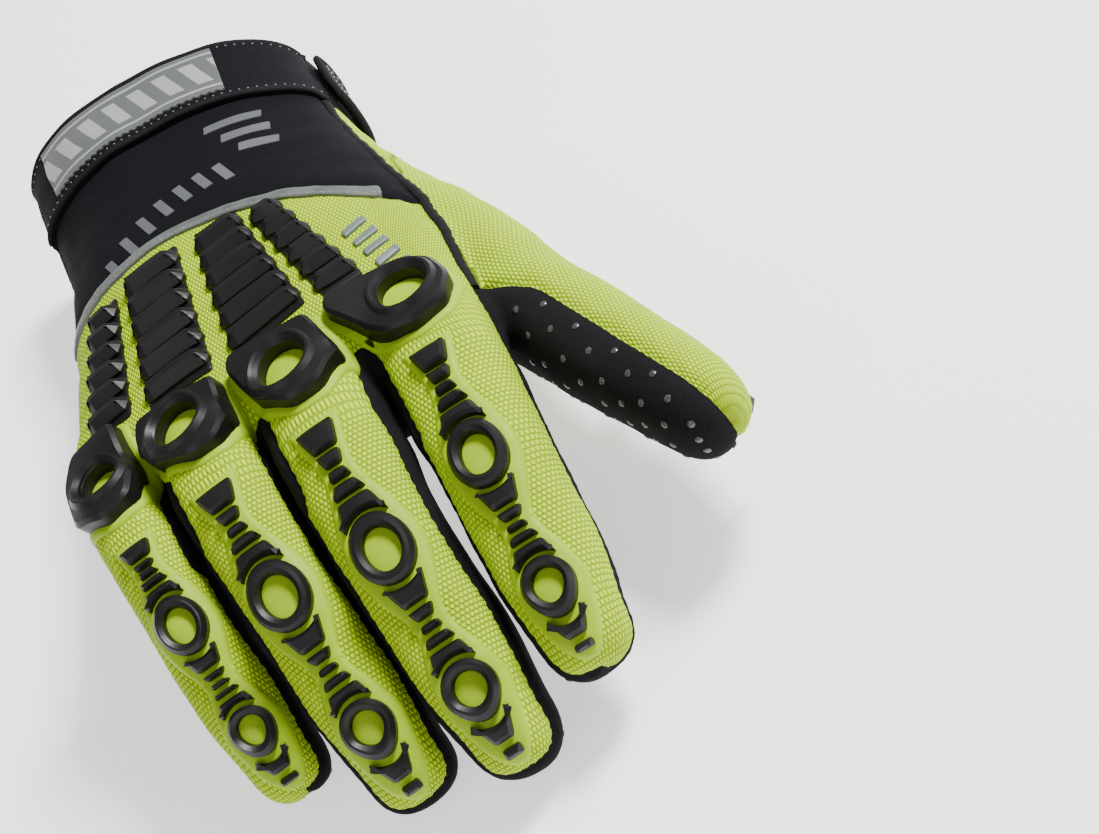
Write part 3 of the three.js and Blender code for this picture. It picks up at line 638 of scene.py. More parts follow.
def plain(name, color, roughness, grain, depth, tint=None, **settings):
    """One colour with fine grain: grain is bumps per metre and depth their height."""
    nodes = Nodes(name, color, roughness, **settings)
    cloud = nodes.noise(grain, 3.0)
    second = tint or tuple(min(1, c * 1.7) for c in color)
    broad = nodes.noise(60, 3.0)
    share = nodes.math("MULTIPLY", nodes.math("MULTIPLY", cloud, broad), 1.6)
    nodes.set("Base Color", nodes.mix(share, color, second))
    nodes.set("Roughness", nodes.math("ADD", nodes.math("MULTIPLY", broad, 0.12), roughness - 0.06))
    nodes.bump(cloud, depth, 0.8)
    return nodes.material


def neoprene():
    nodes = Nodes("neoprene_jersey", (0.0075, 0.008, 0.012), 0.85, Specular_IOR_Level=0.12)
    bead = nodes.weave(0.62, 0.5)
    nodes.set("Base Color", nodes.mix(bead, (0.0022, 0.0024, 0.0032), (0.006, 0.0065, 0.009)))
    nodes.bump(bead, 0.00012, 0.7)
    return nodes.material


def label_weave():
    """A grey woven field, two plain lighter stripes, and a row of slanted dashes between them."""
    nodes = Nodes("label_weave", (0.16, 0.175, 0.165), 0.7, Sheen_Weight=0.1)
    u, v = nodes.place_in_weave()
    warp, weft = nodes.math("DIVIDE", u, 0.5), nodes.math("DIVIDE", v, 0.42)
    thread = nodes.math("MULTIPLY", nodes.dome(warp), nodes.dome(weft))
    band = nodes.math("LESS_THAN", nodes.math("ABSOLUTE", v), 5.2)
    sheared = nodes.math("ADD", u, nodes.math("MULTIPLY", v, 0.35))
    slanted = nodes.math("FRACT", nodes.math("DIVIDE", sheared, 7.5))
    dash = nodes.math("MULTIPLY", band, nodes.math("LESS_THAN", slanted, 0.52))
    edge = nodes.math("ABSOLUTE", nodes.math("SUBTRACT", nodes.math("ABSOLUTE", v), 7.6))
    line = nodes.math("LESS_THAN", edge, 0.45)
    pattern = nodes.math("MAXIMUM", dash, line)
    field = nodes.mix(thread, (0.065, 0.072, 0.068), (0.125, 0.138, 0.128))
    nodes.set("Base Color", nodes.mix(pattern, field, (0.33, 0.35, 0.34)))
    nodes.bump(nodes.math("ADD", thread, nodes.math("MULTIPLY", pattern, 0.6)), 0.00012, 0.8)
    return nodes.material


MATERIALS = {
    "knit": knit("lime_knit_coarse", 0.98, 1.16, 0.00036),
    # The film's lime is darker than the knit's: partly the moulded film's own colour, partly painted shade
    # beside the black guards.
    "film": plain("lime_film_with_painted_shade", (0.30, 0.47, 0.004), 0.5, 700, 0.00004,
                  tint=(0.38, 0.57, 0.008), Specular_IOR_Level=0.2),
    "suede": plain("palm_suede_black", (0.006, 0.006, 0.007), 0.92, 1500, 0.00016,
                   tint=(0.013, 0.013, 0.015), Specular_IOR_Level=0.08),
    "neoprene": neoprene(),
    "rubber": plain("moulded_rubber", (0.0045, 0.0045, 0.0045), 0.42, 1100, 0.00003,
                    tint=(0.006, 0.006, 0.006), Specular_IOR_Level=0.32),
    "binding": plain("black_binding_tape", (0.006, 0.006, 0.007), 0.8, 2500, 0.00008,
                     Specular_IOR_Level=0.15),
    "reflective": plain("reflective_tape_grey", (0.085, 0.095, 0.088), 0.42, 2600, 0.00007,
                        tint=(0.17, 0.185, 0.175), Specular_IOR_Level=0.4),
    "thread": plain("grey_thread", (0.16, 0.165, 0.16), 0.7, 3000, 0.00004),
    "print": plain("grey_print", (0.075, 0.078, 0.085), 0.6, 1800, 0.00003),
    "raised_grey": plain("raised_grey_print", (0.085, 0.11, 0.10), 0.5, 900, 0.00003),
    "silicone": plain("silicone_dots", (0.035, 0.035, 0.038), 0.2, 300, 0.00002,
                      Coat_Weight=0.3, Coat_Roughness=0.12),
    "label": label_weave(),
    "hooks": plain("hook_and_loop", (0.010, 0.010, 0.012), 0.85, 900, 0.0005, tint=(0.03, 0.03, 0.033)),
}

# ---------- meshes ----------

def make_object(name, points, faces, material, normals=None, weave=None, sharp=None):
    """A mesh object from points in the hand frame. faces is a list of arrays with 3 or 4 columns."""
    mesh = bpy.data.meshes.new(name)
    loops = np.concatenate([face.ravel() for face in faces]).astype(np.int32)
    sizes = np.concatenate([np.full(len(face), face.shape[1]) for face in faces]).astype(np.int32)
    mesh.vertices.add(len(points))
    mesh.vertices.foreach_set("co", to_world(points).astype(np.float32).ravel())
    mesh.loops.add(len(loops))
    mesh.loops.foreach_set("vertex_index", loops)
    mesh.polygons.add(len(sizes))
    mesh.polygons.foreach_set("loop_start", np.concatenate([[0], np.cumsum(sizes)[:-1]]).astype(np.int32))
    mesh.update(calc_edges=True)
    mesh.validate()
    mesh.shade_smooth()
    if normals is not None:
        mesh.normals_split_custom_set((normals @ AXES).astype(np.float32))
    elif sharp is not None:
        mesh.set_sharp_from_angle(angle=math.radians(sharp))
    if weave is not None:
        attribute = mesh.attributes.new("weave", "FLOAT_VECTOR", "POINT")
        attribute.data.foreach_set("vector", weave.astype(np.float32).ravel())
    obj = bpy.data.objects.new(name, mesh)
    bpy.context.scene.collection.objects.link(obj)
    mesh.materials.append(MATERIALS[material])
    return obj


def face_normals(points, triangles):
    a, b, c = (points[triangles[:, k]] for k in range(3))
    return np.cross(b - a, c - a)


def point_normals(points, triangles):
    total = np.zeros_like(points)
    facing = face_normals(points, triangles)
    for k in range(3):
        np.add.at(total, triangles[:, k], facing)
    return unit(total)


def border_edges(triangles):
    """Directed edges that only one triangle has."""
    edges = np.stack([triangles, np.roll(triangles, -1, 1)], 2).reshape(-1, 2)
    key = np.sort(edges, 1)
    _, first, count = np.unique(key, axis=0, return_index=True, return_counts=True)
    return edges[first[count == 1]]


def panel_object(name, points, normals, weave, triangles, thickness, material):
    """A fabric panel of real thickness from its outer face, closed by a rim."""
    used, inverse = np.unique(triangles, return_inverse=True)
    outer = inverse.reshape(-1, 3)
    count = len(used)
    rim = border_edges(outer)
    inner = outer[:, ::-1] + count
    walls = np.stack([rim[:, 1], rim[:, 0], rim[:, 0] + count, rim[:, 1] + count], 1)
    both = np.vstack([points[used], points[used] - normals[used] * thickness])
    up = normals[used]
    rim_along = points[used][rim[:, 1]] - points[used][rim[:, 0]]
    rim_normals = np.repeat(unit(np.cross(up[rim[:, 0]], rim_along)), 4, axis=0) * -1
    corner_normals = np.vstack([up[outer.ravel()], -up[inner.ravel() - count], rim_normals])
    coordinates = np.vstack([weave[used]] * 2)
    return make_object(name, both, [outer, inner, walls], material, normals=corner_normals, weave=coordinates)


# ---------- the skin ----------

GROOVE_DEPTH, GROOVE_WIDTH = 0.75, 1.1          # the groove along a seam
PUFF, PUFF_REACH = 0.5, 5.0     # a panel rises by PUFF over this distance from its seams
FLOOR_GAP = 1.0                 # the skin stays this far above the floor, for the binding under it


def build_skin():
    grid = Grid()
    points, triangles = grid.surface()
    data = describe(points)
    data, triangles = cut(data, triangles, COLUMN["mouth"])
    ahead = data[triangles][:, :, COLUMN["mouth"]].mean(1) > 0
    data, triangles = drop_unused(data, triangles[ahead])
    for name in CUTS:
        data, triangles = cut(data, triangles, COLUMN[name])
    panel, finger, part = label(data, triangles)
    return grid, data, triangles, panel, finger, part


def seam_points(triangles, panel, count):
    """Points that lie between two panels."""
    low = np.full(count, panel.max())
    high = np.full(count, panel.min())
    for k in range(3):
        np.minimum.at(low, triangles[:, k], panel)
        np.maximum.at(high, triangles[:, k], panel)
    return np.nonzero(low != high)[0]


def shape_skin(grid, data, triangles, panel):
    """Seams sink in, panels puff up between them, and the fabric ripples a little."""
    points = data[:, :3].copy()
    normals = grid.normals(points)
    seams = seam_points(triangles, panel, len(points))
    tree = KDTree(len(seams))
    for k, point in enumerate(points[seams]):
        tree.insert(point, k)
    tree.balance()
    away = np.array([tree.find(point)[2] for point in points])
    puff = PUFF * (1 - np.exp(-(away / PUFF_REACH) ** 2))
    height = puff - GROOVE_DEPTH * np.exp(-(away / GROOVE_WIDTH) ** 2)
    along_seam = data[:, COLUMN["v"]] + data[:, COLUMN["u"]]
    pucker = 0.16 * np.exp(-away / 2.6) * np.sin(2 * math.pi * along_seam / 3.1)
    height += pucker + 0.42 * ripple(points, 34, 3) + 0.2 * ripple(points, 13, 5)
    cuff = smooth((-60 - points[:, 1]) / 20)
    height += 0.5 * cuff * ripple(points * (1, 0.5, 1), 24, 8)
    points += normals * height[:, None]
    up = np.array([0.0, 0.0, 1.0]) @ AXES.T
    above_floor = to_world(points)[:, 2] / MM - FLOOR_GAP
    lifted = np.where(above_floor < 1, np.logaddexp(0, 3 * above_floor) / 3, above_floor)
    return points + (lifted - above_floor)[:, None] * up


GRID, SKIN_DATA, SKIN_TRIANGLES, PANEL_OF, FINGER_OF, PART_OF = build_skin()
SKIN_POINTS = shape_skin(GRID, SKIN_DATA, SKIN_TRIANGLES, PANEL_OF)
SKIN_NORMALS = point_normals(SKIN_POINTS, SKIN_TRIANGLES)
SKIN = BVHTree.FromPolygons(SKIN_POINTS.tolist(), SKIN_TRIANGLES.tolist())
WEAVE = np.column_stack([SKIN_DATA[:, COLUMN["u"]], SKIN_DATA[:, COLUMN["v"]], np.zeros(len(SKIN_DATA))])


def fold_zone(name, part):
    """The two bodies that a part of a finger bends between, and the fold's middle, direction and length."""
    if name == "thumb":
        parent, child = (("hand", "thumb_proximal"), ("thumb_proximal", "thumb_distal"))[part - 1]
        middle, along, _, out = THUMB.at((0, THUMB_REACH[0])[part - 1])
        if part == 1:
            direction = along * math.cos(THUMB_TILT) + out * math.sin(THUMB_TILT)
            return parent, child, middle + direction * (THUMB_FIRST + THUMB_FOLD / 2), direction, THUMB_FOLD
        return parent, child, middle, along, THUMB_END_FOLD
    bodies = ["hand", f"{name}_proximal", f"{name}_middle", f"{name}_distal"]
    tube, reach = TUBES[name], FINGERS[name]["reach"]
    if part == 1:
        middle, along, _, out = tube.at(0)
        direction = along * math.cos(MCP_TILT) + out * math.sin(MCP_TILT)
        start = middle + direction * (MCP_FIRST - MCP_DEPTH * math.sin(MCP_TILT))
        return bodies[0], bodies[1], start + direction * MCP_FOLD / 2, direction, MCP_FOLD
    middle, along, _, _ = tube.at((reach[0], reach[0] + reach[1])[part - 2])
    return bodies[part - 1], bodies[part], middle, along, FINGERS[name]["folds"][part - 2]


def bend(obj, name, part):
    """Part 0 rides on the hand; for a later part the fold is worked out but not used, and the piece only has
    its transform baked.
    """
    if part == 0:
        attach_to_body(obj, "hand")
        return
    parent, child, middle, direction, length = fold_zone(name, part)
    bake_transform(obj)


def attach(obj, finger, part, slot, *nodes):
    """The piece goes through bend, and stands for nodes of the frame, which are hidden."""
    bend(obj, finger, part)
    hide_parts(*nodes)
    return obj


PANEL_PIECES = {
    CUFF_BACK: ("cuff_back_neoprene", "neoprene", ("cuff_back",)),
    CUFF_PALM: ("cuff_palm_neoprene", "neoprene", ("cuff_palm",)),
    BACK: ("back_knit", "knit", ("back_panel",)),
    PALM: ("palm_leather", "suede", ("palm_panel",)),
    THUMB_PANEL: ("thumb_root_knit", "knit", ("thumb_gusset",)),
}
SLOTS = {"neoprene": "neoprene", "knit": "lime_knit", "suede": "palm_suede"}


def add_panels():
    for panel, (name, material, nodes) in PANEL_PIECES.items():
        pick = (PANEL_OF == panel) & (PART_OF == 0)
        obj = add_panel(name, material, pick, "", 0, nodes)
    for index, finger in enumerate([*TUBES, "thumb"]):
        upper = THUMB_PANEL if finger == "thumb" else BACK
        for part in parts_of(finger):
            for panel, kind, node in ((upper, "knit", "back"), (PALM, "suede", "palm")):
                pick = (PART_OF == part) & (FINGER_OF == index) & (PANEL_OF == panel)
                add_panel(f"{finger}_{kind}_{part}", kind, pick, finger, part, (f"{finger}_{part}_{node}",))


def parts_of(finger):
    return (1, 2) if finger == "thumb" else (1, 2, 3)


def add_panel(name, material, pick, finger, part, nodes):
    triangles = SKIN_TRIANGLES[pick]
    obj = panel_object(name, SKIN_POINTS, SKIN_NORMALS, WEAVE, triangles, PANEL[material], material)
    return attach(obj, finger, part, SLOTS[material], *nodes)


add_panels()

# ---------- raised pieces on the skin ----------

def on_skin(starts, directions):
    """Where rays meet the skin, and the smooth outward directions there."""
    places = []
    for start, direction in zip(starts.tolist(), directions.tolist()):
        place = SKIN.ray_cast(start, direction)[0]
        places.append(SKIN.find_nearest(start)[0] if place is None else place)
    places = np.array(places)
    return places, GRID.normals(places)


def back_chart(uv):
    """x and y on the back of the hand."""
    starts = np.column_stack([uv, np.full(len(uv), 25.0)])
    return on_skin(starts, np.tile([0.0, 0.0, -1.0], (len(uv), 1)))


def side_chart(uv):
    """y and z on the thumb side of the cuff."""
    starts = np.column_stack([np.full(len(uv), -90.0), uv])
    return on_skin(starts, np.tile([1.0, 0.0, 0.0], (len(uv), 1)))


def finger_chart(name, turn=0.0):
    """Across and along the back of a finger; turn rolls the chart round the finger, in degrees."""
    tube = THUMB if name == "thumb" else TUBES[name]

    def chart(uv):
        middle, _, side, out = tube.at(uv[:, 1])
        c, s = math.cos(math.radians(turn)), math.sin(math.radians(turn))
        side, out = side * c + out * s, out * c - side * s
        places, normals = on_skin(middle + side * uv[:, :1] + out * 25, -out)
        return places, unit(normals + 1.8 * out)
    return chart


class Around:
    """Round the cuff: u in mm from the top, towards the little finger, and v in mm ahead of a line.

    The section of the cuff at y gives the lengths.
    """

    def __init__(self, line, y):
        self.line, self.centre = line, np.array([-3.0, y, -24.0])
        self.angles = np.radians(np.arange(-60, 241, 3.0))
        rays = self.rays(self.angles)
        places = on_skin(self.centre + 80 * rays, -rays)[0]
        steps = np.linalg.norm(np.diff(places, axis=0), axis=1)
        length = np.concatenate([[0], np.cumsum(steps)])
        self.u = np.interp(math.pi / 2, self.angles, length) - length
        self.x, self.z = places[:, 0], places[:, 2]

    def ends(self, z):
        """u on the thumb side and on the little finger side where the surface comes down to a height."""
        high = np.nonzero(self.z > z)[0]
        return self.u[high[-1]], self.u[high[0]]

    def rays(self, angles):
        return np.column_stack([np.cos(angles), 0 * angles, np.sin(angles)])

    def __call__(self, uv):
        order = slice(None, None, -1)
        rays = self.rays(np.interp(uv[:, 0], self.u[order], self.angles[order]))
        y = self.line(np.interp(uv[:, 0], self.u[order], self.x[order])) + uv[:, 1]
        starts = np.column_stack([np.full(len(y), self.centre[0]), y, np.full(len(y), self.centre[2])])
        return on_skin(starts + 80 * rays, -rays)


def counter_clockwise(outline):
    outline = np.asarray(outline, float)
    after = np.roll(outline, -1, 0)
    area = (outline[:, 0] * after[:, 1] - outline[:, 1] * after[:, 0]).sum()
    return outline if area > 0 else outline[::-1]


def resampled(outline, step):
    """The same closed outline with no edge longer than step."""
    points = []
    for a, b in zip(outline, np.roll(outline, -1, 0)):
        parts = max(1, math.ceil(np.linalg.norm(b - a) / step))
        points += [a + (b - a) * k / parts for k in range(parts)]
    return np.array(points)


def rounded(corners, radius, step=1.3, turns=4):
    """A closed outline through corners, which are rounded."""
    corners = counter_clockwise(corners)
    outline = []
    for k, corner in enumerate(corners):
        ends = []
        for other in (corners[k - 1], corners[(k + 1) % len(corners)]):
            reach = min(radius, 0.45 * np.linalg.norm(other - corner))
            ends.append(corner + unit(other - corner) * reach)
        for t in np.linspace(0, 1, turns):
            outline.append((1 - t) ** 2 * ends[0] + 2 * t * (1 - t) * corner + t * t * ends[1])
    return resampled(np.array(outline), step)


def circle(centre, radius, sides=28):
    angles = 2 * math.pi * np.arange(sides) / sides
    return np.array(centre) + radius * np.column_stack([np.cos(angles), np.sin(angles)])


def inset(outline, distance):
    """Moves an outline to its left, which is inwards for an outer one and outwards for a hole."""
    ahead = unit(np.roll(outline, -1, 0) - outline)
    tangent = unit(ahead + np.roll(ahead, 1, 0))
    return outline + np.column_stack([-tangent[:, 1], tangent[:, 0]]) * distance


def inside(points, loops):
    """True for points inside the outer outline and outside the holes."""
    crossings = np.zeros(len(points), int)
    x, y = points[:, :1], points[:, 1:]
    for loop in loops:
        (x0, y0), (x1, y1) = loop.T, np.roll(loop, -1, 0).T
        spans = (y0 > y) != (y1 > y)
        at = x0 + (y - y0) / np.where(y1 == y0, 1e-9, y1 - y0) * (x1 - x0)
        crossings += (spans & (x < at)).sum(1)
    return crossings % 2 == 1


def fill(loops, spacing):
    """Points and triangles that fill outlines. The points of the outlines come first."""
    outline = np.vstack(loops)
    low, high = outline.min(0) + spacing / 2, outline.max(0)
    inner = np.stack(np.meshgrid(*(np.arange(low[k], high[k], spacing) for k in range(2))), -1).reshape(-1, 2)
    inner = inner[inside(inner, loops)]
    if len(inner):
        gap = np.linalg.norm(inner[:, None] - outline[None], axis=2).min(1)
        inner = inner[gap > 0.45 * spacing]
    points = np.vstack([outline, inner])
    edges = []
    start = 0
    for loop in loops:
        edges += [(start + k, start + (k + 1) % len(loop)) for k in range(len(loop))]
        start += len(loop)
    found = delaunay_2d_cdt([Vector(point) for point in points], edges, [], 0, 1e-5)
    points = np.array(found[0])
    triangles = np.array([face for face in found[2] if len(face) == 3])
    triangles = triangles[inside(points[triangles].mean(1), loops)]
    a, b, c = (points[triangles[:, k]] for k in range(3))
    area = (b - a)[:, 0] * (c - a)[:, 1] - (b - a)[:, 1] * (c - a)[:, 0]
    triangles[area < 0] = triangles[area < 0][:, ::-1]
    return points, triangles


class Pile:
    """Gathers closed pieces into one mesh."""

    def __init__(self):
        self.points, self.faces, self.weave, self.count = [], [], [], 0

    def add(self, points, faces, weave=None):
        self.points.append(points)
        self.weave.append(np.zeros((len(points), 3)) if weave is None else weave)
        self.faces += [np.asarray(face) + self.count for face in faces]
        self.count += len(points)

    def moulded(self, chart, loops, profile, spacing=2.0, stiff=0.0):
        """A raised piece: its walls follow a profile of (inset, height) steps, up to a cap.

        A stiff piece bends less than the skin under it: 1 has a flat top.
        """
        outlines = len(np.vstack(loops))
        flat_top, triangles = fill([inset(loop, profile[-1][0]) for loop in loops], spacing)
        inner = flat_top[outlines:]
        levels = [np.vstack([inset(loop, depth) for loop in loops]) for depth, _ in profile]
        flat = np.vstack([*levels, inner, inner])
        heights = np.concatenate([np.repeat([height for _, height in profile], outlines),
                                  np.full(len(inner), profile[-1][1]), np.full(len(inner), profile[0][1])])
        places, normals = chart(flat)
        if stiff:
            up = unit(normals.mean(0))
            drop = np.clip(np.percentile(places @ up, 80) - places @ up, 0, None)
            heights = heights + np.where(heights > 1, stiff * drop, 0)
            normals = unit(normals * 0.25 + up)
        faces = []
        for level in range(len(profile) - 1):
            start = level * outlines
            for loop in loops:
                k = start + np.arange(len(loop))
                after = start + (np.arange(len(loop)) + 1) % len(loop)
                faces.append(np.column_stack([k, after, after + outlines, k + outlines]))
                start += len(loop)
        top = triangles + (len(profile) - 1) * outlines
        bottom = np.where(triangles < outlines, triangles, top + len(inner))
        weave = np.column_stack([flat, np.zeros(len(flat))])
        self.add(places + normals * heights[:, None], [*faces, top, bottom[:, ::-1]], weave)

    def cord(self, places, normals, half_width, half_height, closed=False, sides=8):
        """A rounded cord along points of the skin."""
        if closed:
            along = unit(np.roll(places, -1, 0) - np.roll(places, 1, 0))
        else:
            along = unit(np.gradient(places, axis=0))
        side = unit(np.cross(along, normals))
        up = np.cross(side, along)
        angles = 2 * math.pi * np.arange(sides) / sides
        ring = (side[:, None] * (np.cos(angles) * half_width)[None, :, None]
                + up[:, None] * (np.sin(angles) * half_height)[None, :, None])
        points = (places[:, None] + ring).reshape(-1, 3)
        count = len(places)
        rows = np.arange(count if closed else count - 1)[:, None] * sides
        after = (rows + sides) % (count * sides)
        k = np.arange(sides)[None]
        next_k = (k + 1) % sides
        faces = [np.stack([rows + k, after + k, after + next_k, rows + next_k], -1).reshape(-1, 4)]
        if not closed:
            faces += [np.arange(sides)[None, :], (len(points) - 1 - np.arange(sides))[None, :]]
        self.add(points, faces)

    def beads(self, places, normals, along, size):
        """Small rounded beads, such as stitches and dots; size is half the length, width and height."""
        side = unit(np.cross(along, normals))
        axes = np.stack([along * size[0], side * size[1], normals * size[2]], 1)
        template, faces = BEAD
        points = (places[:, None] + np.einsum("tk,nkj->ntj", template, axes)).reshape(-1, 3)
        starts = (np.arange(len(places)) * len(template))[:, None, None]
        self.add(points, [(face[None] + starts).reshape(-1, face.shape[1]) for face in faces])

    def build(self, name, material, sharp=32.0, weave=False):
        points = np.vstack(self.points)
        return make_object(name, points, self.faces, material, sharp=sharp,
                           weave=np.vstack(self.weave) if weave else None)


def bead_template(sides=8):
    """A dome on a low skirt: three rings and a top."""
    angles = 2 * math.pi * np.arange(sides) / sides
    circle_points = np.column_stack([np.cos(angles), np.sin(angles)])
    steps = ((0.9, -0.5), (1, 0.1), (0.72, 0.7))     # radius and height of each ring
    rings = [np.column_stack([circle_points * radius, np.full(sides, height)]) for radius, height in steps]
    points = np.vstack([*rings, [(0, 0, 1)]])
    k = np.arange(sides)
    after = (k + 1) % sides
    quads = np.vstack([np.column_stack([k + row, after + row, after + row + sides, k + row + sides])
                       for row in (0, sides)])
    top = np.column_stack([2 * sides + k, 2 * sides + after, np.full(sides, 3 * sides)])
    return points, [quads, top, k[::-1][None, :]]


BEAD = bead_template()


def trail(chart, uv, spacing):
    """Evenly spaced points of the skin along a line of a chart, their normals and directions."""
    uv = np.asarray(uv, float)
    steps = np.concatenate([[0], np.cumsum(np.linalg.norm(np.diff(uv, axis=0), axis=1))])
    fine = np.arange(0, steps[-1] + 1e-6, min(spacing, 1.5))
    places, normals = chart(np.column_stack([np.interp(fine, steps, uv[:, k]) for k in range(2)]))
    length = np.concatenate([[0], np.cumsum(np.linalg.norm(np.diff(places, axis=0), axis=1))])
    even = np.arange(spacing / 2, length[-1], spacing)
    take = lambda rows: np.column_stack([np.interp(even, length, rows[:, k]) for k in range(3)])
    places, normals = take(places), unit(take(normals))
    return places, normals, unit(np.gradient(places, axis=0))


# ---------- impact guards ----------

# Steps of (inset, height) of the lime film under the guards, then the heights of the guards on it.
FILM_PROFILE = [(-0.3, -0.6), (0.0, 0.2), (0.5, 0.62), (1.0, 0.72)]
PAD_HEIGHT, STUD_HEIGHT, RING_HEIGHT, RIB_TOP = 4.3, 3.0, 3.6, 3.6


def guard_profile(height, chamfer=0.7):
    return [(0, 0.1), (0.25, height - chamfer), (0.25 + chamfer * 0.9, height)]


# Outlines of the knuckle guards about the middle of their holes: corners and hole radius.
KNUCKLE_PADS = {
    "index": ([(16, -9.5), (17.5, -4.5), (7, 10), (0, 12.2), (-7.5, 9.5), (-10.5, 2), (-8, -6),
               (-1, -9.5)], 5.2),
    "middle": ([(-9.5, -10), (11, -12.5), (12.5, -8), (8, 5), (1.5, 12), (-6, 11.5), (-12.5, 3)], 5.6),
    "ring": ([(-12.5, -6.5), (9, -10), (11, -5), (8.5, 5), (-1, 11.8), (-7.5, 11), (-11.5, 4)], 5.4),
    "pinky": ([(-8.5, -13), (4.5, -14.5), (9, -7), (8.5, 7), (1, 12.5), (-6.5, 10), (-9, 0)], 4.4),
}
# Columns of ribs: middle and width where they start by the cuff, and where they end by the knuckle.
RIB_COLUMNS = {
    "index": ((-21.6, -53.5), 6.8, (-32.2, -12), 9.6),
    "middle": ((-9.8, -57.5), 11.2, (-13.3, -12.5), 19.5),
    "ring": ((8.2, -59.5), 14.6, (10.8, -13.5), 17),
    "pinky": ((23.6, -59), 7.4, (30.4, -20), 11.5),
}
RIBS = 6


def knuckle_middle(name):
    """The middle of a finger's knuckle guard, in x and y."""
    joint, axis = joint_at(f"{name}_knuckle"), joint_axis(f"{name}_knuckle")
    forward = unit(np.cross([0, 0, 1], -axis))
    return (joint - forward * KNUCKLE_TO_JOINT)[:2]


def add_knuckle_pad(name):
    corners, hole = KNUCKLE_PADS[name]
    middle = knuckle_middle(name)
    outline = rounded(np.array(corners) + middle, 2.4)
    pile = Pile()
    plate = [outline, circle(middle, hole)[::-1]]
    rim = [circle(middle, hole + 3.4), circle(middle, hole + 0.3)[::-1]]
    pile.moulded(back_chart, plate, guard_profile(PAD_HEIGHT, 0.9), stiff=0.5)
    pile.moulded(back_chart, rim, guard_profile(PAD_HEIGHT + 1.0, 1.1), stiff=0.5)
    pad = pile.build(f"{name}_knuckle_pad", "rubber")
    film = Pile()
    film.moulded(back_chart, [inset(outline, -1.5)], FILM_PROFILE)
    halo = film.build(f"{name}_knuckle_base", "film", sharp=60)
    for obj, slot in ((pad, "guard_rubber"), (halo, "lime_knit")):
        attach(obj, "", 0, slot, f"knuckle_guard_{name}")


def add_rib_column(name):
    start, narrow, end, wide = RIB_COLUMNS[name]
    start, end = np.array(start, float), np.array(end, float)
    along = unit(end - start)
    across = np.array([along[1], -along[0]])
    deep = np.linalg.norm(end - start) / RIBS * 0.5 - 0.7        # half the depth of a rib
    pile, film = Pile(), Pile()
    for k in range(RIBS):
        t = (k + 0.5) / RIBS
        middle = start + (end - start) * t
        half = (narrow + (wide - narrow) * t) / 2
        corners = [(-half + 1.4, -deep), (half - 0.6, -deep), (half + 0.5, -deep * 0.3),
                   (half + 0.9, deep * 0.4), (half - 1.6, deep), (-half + 0.4, deep),
                   (-half - 0.8, deep * 0.3), (-half - 0.3, -deep * 0.5)]
        outline = rounded([middle + across * x + along * y for x, y in corners], 0.5, turns=3)
        profile = [(0, 0.1), (0.15, RIB_TOP * 0.36), (min(2.1, deep * 0.72), RIB_TOP)]
        pile.moulded(back_chart, [outline], profile, spacing=3.0)
    edge = [start - along - across * narrow / 2, start - along + across * narrow / 2,
            end + along + across * wide / 2, end + along - across * wide / 2]
    film.moulded(back_chart, [inset(rounded(edge, 1.0), -0.3)], [(0, -0.4), (0.2, 0.5), (0.6, 0.6)])
    ribs = pile.build(f"{name}_ribs", "rubber", sharp=18)
    base = film.build(f"{name}_rib_base", "rubber", sharp=60)
    for obj in (ribs, base):
        attach(obj, "", 0, "guard_rubber", f"rib_pad_{name}")


SEGMENT_CUTS = (0.0, 0.27, 0.47, 0.63, 0.81, 1.0)   # shares of the way between rings where segments are cut
SEGMENT_GAP = 1.0
FILM_LAP = 1.2                  # the films of two parts overlap by this much each, so no line shows


def segment_half_width(t, ends, waist):
    """Half width of the row of segments at a share t of the way between two rings."""
    side = ends[0] if t < 0.5 else ends[1]
    return waist + (side - waist) * abs(2 * t - 1) ** 1.25


def segment_outlines(start, end, ends, waist, arcs, cuts):
    """Outlines of the segments from s = start to end.

    arcs: middle s and radius of the edge that the first and the last segment follow, or None.
    """
    outlines = []
    for a, b in zip(cuts[:-1], cuts[1:]):
        low = start + (end - start) * a + (SEGMENT_GAP / 2 if a > 0 else 0)
        high = start + (end - start) * b - (SEGMENT_GAP / 2 if b < 1 else 0)
        half_low, half_high = segment_half_width(a, ends, waist), segment_half_width(b, ends, waist)
        bottom, top = [(-half_low, low), (half_low, low)], [(half_high, high), (-half_high, high)]
        if a == 0 and arcs[0]:
            bottom = arc(arcs[0], half_low, 1)
        if b == 1 and arcs[1]:
            top = arc(arcs[1], half_high, -1)
        outlines.append(rounded(bottom + top, 0.7, turns=3))
    return outlines


def arc(ring, half, side):
    """Points on a ring's edge, from one side to the other, which a segment beside the ring follows."""
    middle, radius = ring
    limit = math.asin(min(half / radius, 0.95))
    angles = np.linspace(-limit, limit, 7) if side > 0 else np.linspace(limit, -limit, 7)
    return [(radius * math.sin(a), middle + side * radius * math.cos(a)) for a in angles]


def film_outline(stations, low, high):
    """Outline of the film under a finger's guards between two s, from stations (s, half width)."""
    s = np.linspace(low, high, max(4, int((high - low) / 1.2)))
    xs, widths = np.array(stations, float).T
    half = spline(s, xs, widths)
    return np.vstack([np.column_stack([half, s]), np.column_stack([-half, s])[::-1]])


